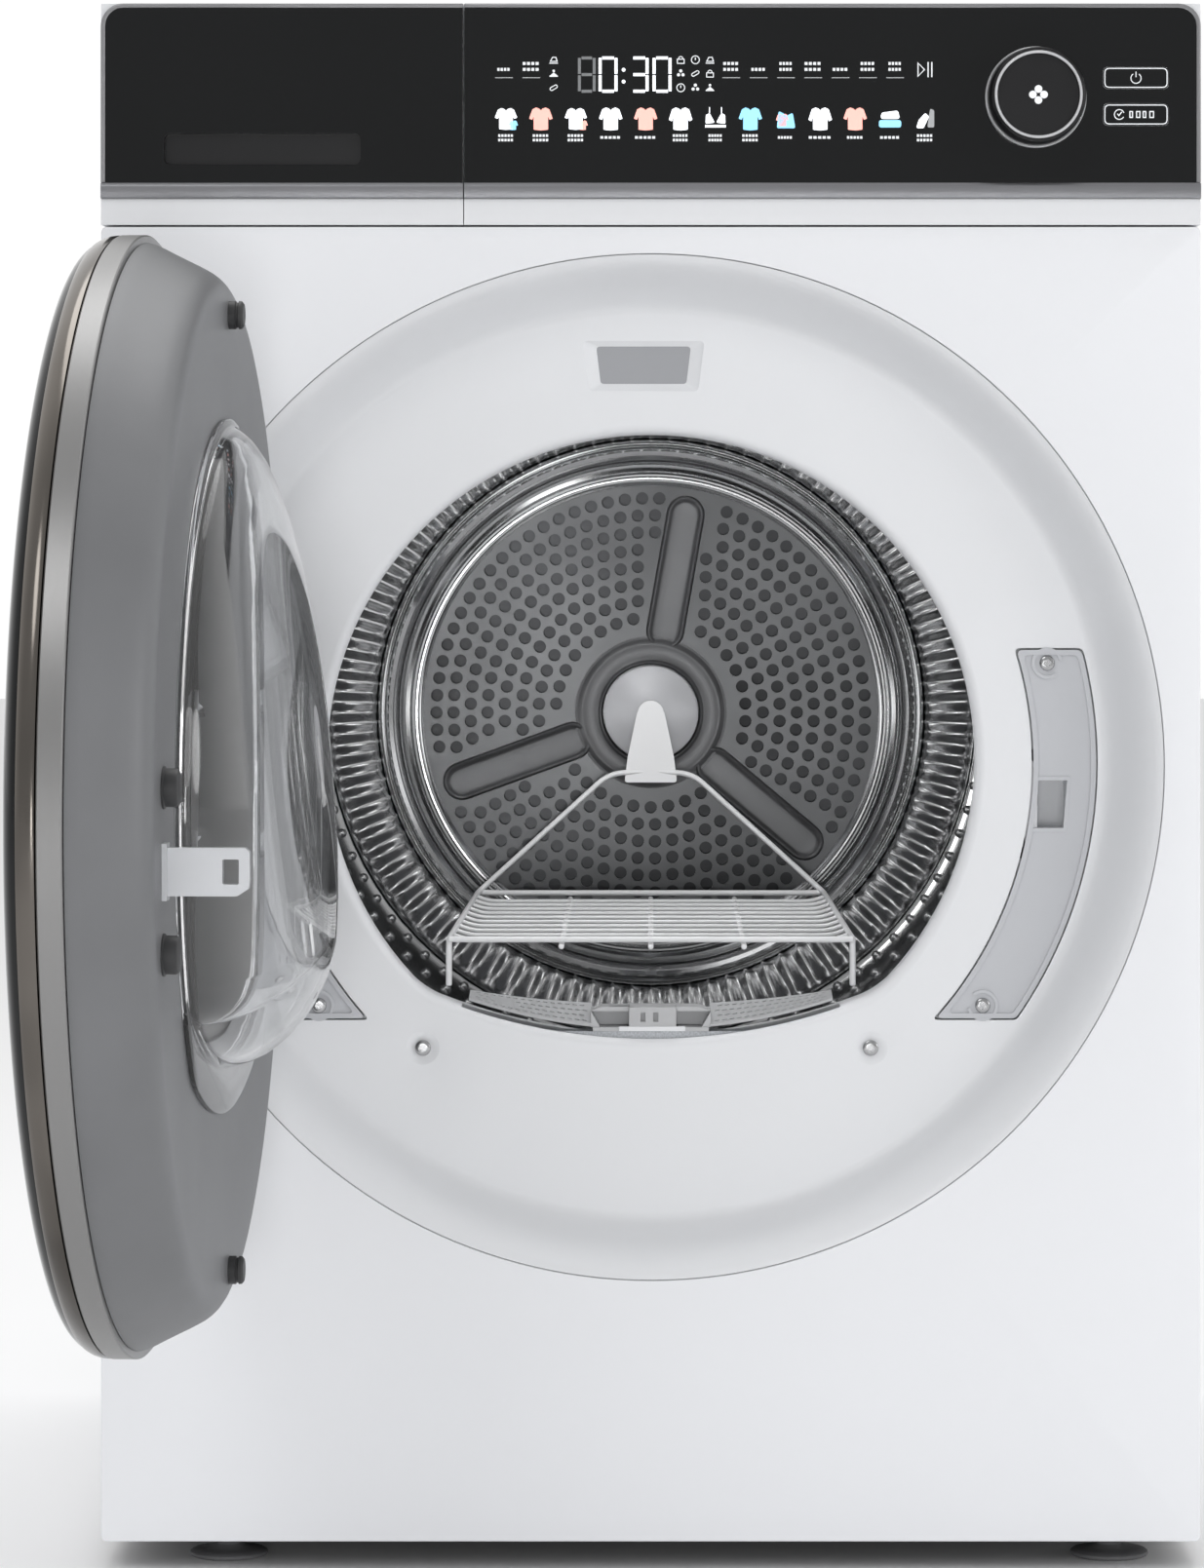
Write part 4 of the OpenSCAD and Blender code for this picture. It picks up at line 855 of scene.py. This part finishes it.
def door():
    """Dark inner frame, bright ring, domed black glass, clear bowl, bumpers and hook."""
    bm = bmesh.new()
    region(bm, circle(0, DOOR_Z, 243.5, ROUND), [mouth(-2, 6)], depth(FACE))
    outer = [(243.5, 0), (246.5, -0.2), (249.4, -0.8), (252, -1.9), (254.2, -3.4), (256.2, -5.4), (258, -7.9),
             (259.6, -10.8), (261.6, -14.6), (263.6, -18.8), (265.8, -23.2), (267.8, -27.2), (269.6, -30.6),
             (271.2, -34), (272, -37)]
    skin(bm, [at_y(circle(0, DOOR_Z, r, ROUND), FACE + y) for r, y in outer], caps=False)
    region(bm, circle(0, DOOR_Z, 272, ROUND), [mouth(-2, 6)], depth(JOIN))
    skin(bm, [at_y(mouth(-2, 6), y) for y in (FACE, JOIN)], caps=False)
    frame_piece = finish_piece("door_shell", bm, DARK_GREY, "door", ["door_frame"])
    tools = []
    reach, half_slot = 78, 6.5
    a0 = math.degrees(math.asin((JOIN - 1 - HINGE.y) / reach))
    pts = arc(HINGE.x, HINGE.y, reach, a0, 180 - a0, 40)
    for z in (DOOR_Z - 38, DOOR_Z + 38):
        tool = bmesh.new()
        skin(tool, [[Vector((*p, h)) for p in pts] for h in (z - half_slot, z + half_slot)])
        tools.append(tool)
    tool = bmesh.new()
    block(tool, (HINGE.x - 43, HINGE.y - 10, DOOR_Z - 34), (HINGE.x + 14, FACE + 5, DOOR_Z + 34))
    tools.append(tool)
    cut(frame_piece, *tools)
    swing_open(frame_piece)

    bm = bmesh.new()
    x, y = HINGE.x, HINGE.y
    arm = arc(x, y, 9, 26, 26 + 28 * 11, 28)
    arm += [(x + 24, y - 4), (x + 24, JOIN + 3), (x + 17, JOIN + 3), (x + 17, y + 4)]
    lift = lambda z: (lambda p: Vector((p[0], p[1], z)))
    slab(bm, arm, [circle(x, y, 4.06, 32)], lift(DOOR_Z - 32), lift(DOOR_Z + 32))
    soften(finish_piece("door_knuckle", bm, ZINC, "door", place=SWING), 0.6, 2)

    band = [(268.6, -0.3), (275.2, -0.3), (275.85, -0.9), (275.85, -11.5), (275.1, -12.2), (268.6, -12.2)]
    bezel = [(268.6, -12.4), (274.4, -12.4), (275.3, -12.9), (275.65, -14), (275.4, -16.4), (274.6, -18.9),
             (273.5, -20.9), (272.4, -21.9), (268.6, -21.9)]
    band_piece = lathe("door_band", moved(band, JOIN), DOOR_Z, SATIN, "door", ["door_ring"], steps=256)
    tools = []
    for z in (DOOR_Z - 38, DOOR_Z + 38):
        tool = bmesh.new()
        block(tool, (-300, JOIN - 9, z - half_slot), (-200, 0, z + half_slot))
        tools.append(tool)
    cut(band_piece, *tools)
    swing_open(band_piece)
    lathe("door_bezel", moved(bezel, JOIN), DOOR_Z, CHAMPAGNE, "door", place=SWING, steps=256)
    glass = [(0, -4), (80, -3.85), (120, -3.7), (170, -3.2), (200, -2.8), (225, -2.1), (240, -1.4),
             (250, -0.6), (258, 0.4), (263, 1.5), (266.6, 2.7), (269.4, 4.4), (271.2, 6.2), (272, 7.9), (267.5, 7.9),
             (263, 6.2), (254, 4.2), (238, 2.4), (200, 1), (120, 0.2), (0, 0)]
    lathe("door_window", moved(glass, GLASS_Y), DOOR_Z, BLACK, "door", ["door_glass"], SWING, steps=256)

    f = FACE
    low_point = Vector((0, DOOR_Z - 70))

    def dome(less, height, share):
        """Outline of the bowl's smooth dome at a share of its height."""
        k = (1 - share ** 2) ** 0.6
        return at_y([low_point + (p - low_point) * k for p in mouth(4 - less, 19)], f + height * share)

    shares = (0.08, 0.14, 0.21, 0.3, 0.4, 0.5, 0.6, 0.7, 0.79, 0.86, 0.92, 0.96, 0.985, 0.9965)
    loops = [dome(4, 50, a) for a in reversed(shares)]
    loops += [at_y(mouth(0, 19), f + 0.15), at_y(mouth(6.6, 0), f + 0.15), at_y(mouth(7, 0), f + 0.6),
              at_y(mouth(7, 0), f + 2.4), at_y(mouth(6, 0.5), f + 3), at_y(mouth(4.4, 18.6), f + 3.3)]
    loops += [dome(0, 53.9, a) for a in shares]
    bm = bmesh.new()
    skin(bm, loops)
    finish_piece("bowl", bm, CLEAR, "door", ["glass_bowl"], SWING, sharp=40)

    bm = bmesh.new()
    stop = [(0, 0), (7, 0), (7, 3.4), (6.2, 3.8), (6.2, 4.6), (7, 5), (6.8, 6.4), (5.6, 7.4), (0, 7.4)]
    plug = [(0, 0), (9.8, 0), (9.8, 0.8), (8.8, 1.3), (8.9, 5.8), (8.3, 7.1), (7, 7.8), (0, 7.8)]
    for s in (-1, 1):
        turned(bm, moved(stop, f), DOOR_Z + s * 237, -16, 40)
        turned(bm, moved(plug, f), HOOK_Z + s * 38, HOOK_X - 2, 48)
    clean(bm)
    finish_piece("bumpers", bm, BUMPER, "door", ["door_bumpers"], SWING)

    bm = bmesh.new()
    x, z = HOOK_X, HOOK_Z
    side = [(f - 1, z - 11), (f + 34, z - 11), (f + 39.5, z - 7.5), (f + 40, z - 3), (f + 40, z + 9),
            (f + 38, z + 11), (f - 1, z + 11)]
    window = [(f + 27.5, z - 5.6), (f + 35, z - 5.6), (f + 35, z + 5.8), (f + 27.5, z + 5.8)]
    across = lambda w: (lambda p: Vector((w, p[0], p[1])))
    slab(bm, rounded(side, 1.2, 4), [rounded(window, 0.8, 4)], across(x - 2.5), across(x + 2.5))
    block(bm, (x - 5, f + 0.1, z - 13), (x + 5, f + 2.4, z + 13))
    soften(finish_piece("hook_plate", bm, HOOK, "door", ["door_hook"], SWING), 0.5, 2)


def swing_open(obj):
    """Swings a finished closed-door piece open."""
    hinge = HINGE * 0.001
    turn = Matrix.Translation(hinge) @ Matrix.Rotation(-DOOR_OPEN, 4, "Z") @ Matrix.Translation(-hinge)
    obj.data.transform(turn)


# ---------- Drum ----------

ARMS = (80, 200, 320)


def rear_wall():
    """Perforated air disc with three pressed arms, a hub, chrome rings and radial flutes."""
    y = WALL
    holes = []
    arm_dirs = [Vector((math.cos(math.radians(a)), math.sin(math.radians(a)))) for a in ARMS]
    for i in range(9):
        r = 134.5 - 10.7 * i
        n = round(2 * math.pi * r / 10.9)
        for k in range(n):
            a = 2 * math.pi * (k + (i % 2) * 0.5) / n
            p = Vector((math.cos(a), math.sin(a))) * r
            if r > 50 and not any(p.dot(d) > 0 and abs(p.cross(d)) < 16.2 for d in arm_dirs):
                holes.append(circle(p.x, p.y + DRUM_Z, 3.95, 16))

    def arm(direction, angle, less):
        c = direction * 89
        return pill(c.x, c.y + DRUM_Z, 98 - 2 * less, 24 - 2 * less, angle, 14)

    # the arms reach from the hub ring outwards, so the plate is cut by each arm's outline clear of the hub
    arm_cuts = [cut_arm(arm(d, a, 0), 47.9) for d, a in zip(arm_dirs, ARMS)]
    hub = circle(0, DRUM_Z, 47.5, 96)
    bm = bmesh.new()
    slab(bm, circle(0, DRUM_Z, 142.5, 160), [hub, *arm_cuts, *holes], depth(y), depth(y + 1.6))
    finish_piece("air_disc", bm, DISC, "drum", ["drum_rear_wall"])
    bm = bmesh.new()
    pressing = ((0, 5), (0, 0.4), (0.7, -0.8), (1.5, -1.2), (2.3, -1), (3.2, -0.1), (4, 0.5), (5.2, 0.7),
                (11, 0.6))
    # painted shade: a near-black sheet just behind the perforated disc makes every hole look uniformly dark
    shade_sheet = [(44, 7), (142, 7), (142, 8), (44, 8)]
    lathe("painted_shade_backing", moved(shade_sheet, y), DRUM_Z, SHADE_BACKING, "drum", steps=96)
    for d, a in zip(arm_dirs, ARMS):
        skin(bm, [at_y(arm(d, a, less), y + rise) for less, rise in pressing])
    finish_piece("disc_arms", bm, ARM, "drum")
    cone = [(0, -9), (4, -8.6), (28.4, -5.2), (29.4, -4.4), (29.4, 2), (0, 2)]
    lathe("hub_cone", moved(cone, y), DRUM_Z, STEEL_DULL, "drum", steps=128)
    ring = [(29.9, 2), (30.2, -1.5), (31.2, -3.2), (32.2, -2.8), (33, -1.6), (34, -1.3), (41.5, -1.1),
            (42.6, -1.5), (43.6, -1.4), (45, -0.4), (46.2, 0.2), (47.4, 0), (47.5, 3), (30, 3)]
    lathe("hub_ring", moved(ring, y), DRUM_Z, ARM, "drum")
    rings = [(142.5, 1), (142.5, 0), (144.6, -1.8), (145.6, -2), (146.4, -1.2), (147.4, -1.2),
             (148.4, -2.8), (149.4, -3), (150.4, -1.6), (151.4, 1.6), (153.8, 2), (155, -0.4),
             (156.4, -4.6), (158.8, -8), (161.4, -9.6), (164, -8.6), (165.8, -5.6), (166.8, -2.6),
             (167.4, 0.6), (168.6, 0.8), (169.2, -2), (170, -2.8), (170.8, -1.4), (171.3, 3), (150, 4)]
    lathe("wall_rings", moved(rings, y), DRUM_Z, CHROME_DARK, "drum", steps=256)
    bm = bmesh.new()
    count, steps = 90, 8
    profile = [(171.5, 1.2), (175, -2.4), (182, -5.2), (190, -7.4), (197.5, -7.4), (201.6, -4.8),
               (203.4, 0.6)]
    depth_of = (0.2, 1.9, 3.4, 3.8, 3.4, 1.6, 0.2)
    rows = []
    for k in range(count * steps):
        a = 2 * math.pi * k / (count * steps)
        wave = 0.5 - 0.5 * math.cos(2 * math.pi * (k % steps) / steps)
        line = [(r, d + 2 + w * wave) for (r, d), w in zip(profile, depth_of)] + [(203.4, 7), (171.5, 7)]
        rows.append([Vector((r * math.cos(a), y + d, DRUM_Z + r * math.sin(a))) for r, d in line])
    skin(bm, rows, caps=False, closed=True)
    finish_piece("wall_flutes", bm, FLUTE, "drum", sharp=60)
    rim = [(203.6, 8), (204.4, 4), (207, 3), (222, 6), (266, 6), (280, -6), (282.6, -8), (282.6, -4),
           (270, 8), (222, 8.6), (216, 12), (206, 12)]
    lathe("wall_rim", moved(rim, y), DRUM_Z, CHROME_DARK, "drum", steps=256)
    bm = bmesh.new()
    n = 84
    dent = ((1, 0.9), (0.86, -1.4), (0.5, -2.4), (0.16, -2.7))
    for k in range(n):
        for r, size, shift in ((208.4, 3.4, 0), (216.4, 3.8, 0.5), (225, 4.2, 0)):
            a = 2 * math.pi * (k + shift) / n
            x, z = r * math.cos(a), DRUM_Z + r * math.sin(a)
            seat = y + 3.6 + (r - 208) * 0.16
            skin(bm, [at_y(circle(x, z, size * share, 8), seat + d) for share, d in dent])
    finish_piece("wall_studs", bm, FLUTE, "drum", sharp=50)
    shaft = [(0, 3), (20, 3), (22, 8), (40, 8), (42, 3.2), (42, 5), (40, 9.6), (20, 9.6), (12, 10),
             (12, 47), (0, 47)]
    lathe("drum_shaft", moved(shaft, y), DRUM_Z, ZINC, "drum", steps=96)


def cut_arm(outline, radius):
    """Keeps an arm's outline outside a circle about the drum axis."""
    out = []
    for p in outline:
        v = p - Vector((0, DRUM_Z))
        out.append(Vector((0, DRUM_Z)) + (v if v.length > radius else v.normalized() * radius))
    keep = [out[0]]
    for p in out[1:]:
        if (p - keep[-1]).length > 0.05:
            keep.append(p)
    return keep


# ---------- Lint filter ----------

def low(x):
    """Height of the grille's lower edge, which follows the rim of the mouth."""
    return DOOR_Z - 148.5 + 316 - math.sqrt(316 ** 2 - x * x) + 0.6


def high(x):
    """Height of the grille's upper edge."""
    return low(x) + 2.5 + 10.5 * (1 - (x / 112) ** 2)


def lint_filter():
    """Curved grille with four rows of slots on each side of a handle with a grip on either side."""
    y0, run = FLOOR + 4, 25

    def top(p):
        t = p[1] / run
        return Vector((p[0], y0 + p[1], low(p[0]) + 2.4 + (high(p[0]) - low(p[0]) - 2.4) * t))

    def under(p):
        v = top(p)
        return Vector((v.x, v.y + 0.5, max(v.z - 1.6, low(p[0]) + 0.1)))

    slots = []
    for row in range(4):
        for k in range(16):
            for s in (-1, 1):
                x = s * (36.5 + k * 4.1 + (row % 2) * 1.6)
                if abs(x) > 97 or (s < 0 and 74 < -x < 86 and 0 < row < 3):
                    continue
                slots.append(pill(x, 3.8 + row * 5.8, 3.0, 1.5, 12 * s, 4))
    bm = bmesh.new()
    for s in (-1, 1):
        lo, hi = sorted((s * 32.5, s * 100))
        across = [lo + (hi - lo) * i / 24 for i in range(25)]
        outline = [(x, 0.2) for x in across] + [(x, run - 0.2) for x in reversed(across)]
        own = [h for h in slots if h[0].x * s > 0]
        inner = [(x, v) for x in [lo + 2 + (hi - lo - 4) * i / 10 for i in range(11)] for v in (0.9, run - 1)]
        slab(bm, outline, own, top, under, inner)
    # handle
    z0, z1 = low(0) + 0.2, high(0) + 0.4
    block(bm, (-12, y0 + 0.6, z0), (-9.4, y0 + 22, z1))
    grips = [rect(x, z0 + 5.2, x + 2.6, z0 + 10.2) for x in (-5.6, 1.4)]
    slab(bm, rect(-12, z0 + 2.4, 14, z1), grips, depth(y0 + 0.4), depth(y0 + 3))
    block(bm, (-12, y0 + 4, z0 + 2.4), (14, y0 + 22, z1))
    for s, a, b in ((-1, -33, -12), (1, 14, 33)):
        left, right = (a + 6, b) if s < 0 else (a, b - 6)
        wing = [(a, z1 - 2.4), (b, z1 - 2.4), (right, z1), (left, z1)]
        slab(bm, wing, [], depth(y0 + 3), depth(y0 + 22))
        x = s * 33
        slab(bm, [(x, z0 + 2.2), (x, z1 - 2.2), (x - s * 5, z0 + 2.2)], [], depth(y0 + 1), depth(y0 + 22))
        block(bm, (a, y0 + 14, z0 + 2.4), (b, y0 + 16, z1 - 1))
        block(bm, (a + 1, y0 + 0.4, z0 - 0.1), (b - 1, y0 + 22, z0 + 2.2))
    soften(finish_piece("filter_top", bm, FILTER, "lint_filter", ["filter_grille"]), 0.25, 2, 50)
    bm = bmesh.new()
    block(bm, (-17.5, y0 - 0.2, z0), (19, y0 + 3, z0 + 2.6))
    soften(finish_piece("filter_tab", bm, PLASTIC, "lint_filter"), 0.3, 2)


# ---------- Drying rack ----------

def rack():
    """White wire rack: legs, rails, slightly dipped cross wires and a tongue that hangs on the hub."""
    w, z = 1.7, 335
    half, rear = RACK_HI.x - w, RACK_HI.x - w - 5.2
    y0, y1 = -206, 150
    bm = bmesh.new()
    for s in (-1, 1):
        corners = [(s * half, y0, RACK_LO.z), (s * half, y0, z), (s * rear, y1, z),
                   (s * 26, y1 + 6, 408.5), (0, y1 + 8, 410)]
        tube(bm, smooth_path(corners, 9), w)
    n = 12
    for i in range(n):
        y = y0 + 0.6 + i * (y1 - y0 - 2) / (n - 1)
        x = half - (half - rear) * (y - y0) / (y1 - y0)
        dip = 0.3 if i in (0, n - 1) else 3.2
        r = w if i in (0, n - 1) else 1.35
        tube(bm, smooth_path([(-x, y, z), (-x + 9, y, z - dip), (x - 9, y, z - dip), (x, y, z)], 5, 4), r, 10)
    for x in (-50, 0, 52):
        tube(bm, [Vector((x, y, z - 4.2)) for y in (y0 - 1.2, y1 + 1)], 1.6, 12)
    finish_piece("rack_wires", bm, WIRE, "drying_rack", ["rack_frame"])
    low_z, y, r = TONGUE_LO.z, TONGUE_LO.y, 8.2
    top = TONGUE_HI.z - r
    outline = [(-16.4, low_z), (16.4, low_z), (14.4, low_z + 16), (8.6, top + 0.5)]
    outline += arc(0, top, r, 8, 172, 14) + [(-8.6, top + 0.5), (-14.4, low_z + 16)]
    outline = rounded(outline, [2, 2, 12, 4] + [0] * 15 + [4, 12])
    plate("rack_hook", outline, [], y + 4, y + 10, WIRE, "drying_rack", ["rack_tongue"], 1.6)


# ---------- Scene ----------

def studio():
    """Camera, floor, lights and world."""
    scene = bpy.context.scene
    scene.view_settings.view_transform = "Standard"
    cam = bpy.data.cameras.new("camera")
    cam_obj = bpy.data.objects.new("camera", cam)
    scene.collection.objects.link(cam_obj)
    cam_obj.location = (0, FRONT / 1000 - 3, 0.588)
    cam_obj.rotation_euler = (math.radians(90), 0, 0)
    cam.sensor_width = 36
    cam.lens = 127.25
    cam.shift_x = -0.0311
    cam.shift_y = -0.1902
    scene.camera = cam_obj

    bm = bmesh.new()
    s = 12
    bm.faces.new([bm.verts.new(p) for p in ((-s, -s, 0), (s, -s, 0), (s, s, 0), (-s, s, 0))])
    mesh = bpy.data.meshes.new("floor")
    bm.to_mesh(mesh)
    bm.free()
    floor = bpy.data.objects.new("floor", mesh)
    mesh.materials.append(surface("floor_white", (0.93, 0.93, 0.935), 0.8, vary=0.005, scale=2))
    scene.collection.objects.link(floor)

    world = bpy.data.worlds.new("studio")
    world.use_nodes = True
    tree = world.node_tree
    coord = tree.nodes.new("ShaderNodeTexCoord")
    split = tree.nodes.new("ShaderNodeSeparateXYZ")
    ramp = tree.nodes.new("ShaderNodeMapRange")
    ramp.inputs["From Min"].default_value = -0.5
    ramp.inputs["From Max"].default_value = 0.6
    ramp.inputs["To Min"].default_value = 0.56
    ramp.inputs["To Max"].default_value = 1.02
    ramp.interpolation_type = "SMOOTHSTEP"
    tree.links.new(coord.outputs["Generated"], split.inputs["Vector"])
    tree.links.new(split.outputs["Y"], ramp.inputs["Value"])
    tree.links.new(ramp.outputs["Result"], tree.nodes["Background"].inputs["Strength"])
    tree.nodes["Background"].inputs["Color"].default_value = (1, 1, 1, 1)
    scene.world = world

    area_light("key", (-1.4, -3.4, 3.2), (0, -0.3, 0.4), 1.6, 20)
    area_light("side", (3.2, -2.6, 1.2), (0, -0.3, 0.3), 1.4, 17)
    area_light("top", (0.2, 0.4, 3.0), (0, 0, 0.4), 2.2, 24)
    area_light("drum", (0, -0.165, 0.665), (0, 0.1, 0.38), 0.2, 0.95).visible_glossy = False
    area_light("drum_glint", (-0.1, -0.165, 0.655), (0, 0.1, 0.4), 0.1, 0.11)
    for side in (-1, 1):
        glint = area_light("side_glint", (side * 0.235, -0.16, 0.44), (0, 0.15, 0.44), 0.1, 0.07)
        glint.visible_diffuse = False
    area_light("front", (0.05, -4.3, 0.3), (0, 0, 0.3), 0.9, 30).visible_glossy = False
    area_light("front_glint", (-0.15, -4.3, 0.3), (0, 0, 0.44), 0.5, 7)


def area_light(name, place, target, size, power):
    """A large soft light that looks at a point."""
    light = bpy.data.lights.new(name, "AREA")
    light.shape = "DISK"
    light.size = size
    light.energy = power
    obj = bpy.data.objects.new(name, light)
    obj.location = place
    obj.rotation_euler = (Vector(target) - Vector(place)).to_track_quat("-Z", "Y").to_euler()
    bpy.context.scene.collection.objects.link(obj)
    return obj


paint_frame()
front_panel()
recess()
crescent_covers()
screws()
feet()
panel_glass()
icons()
buttons()
dial()
door()
rear_wall()
lint_filter()
rack()
studio()
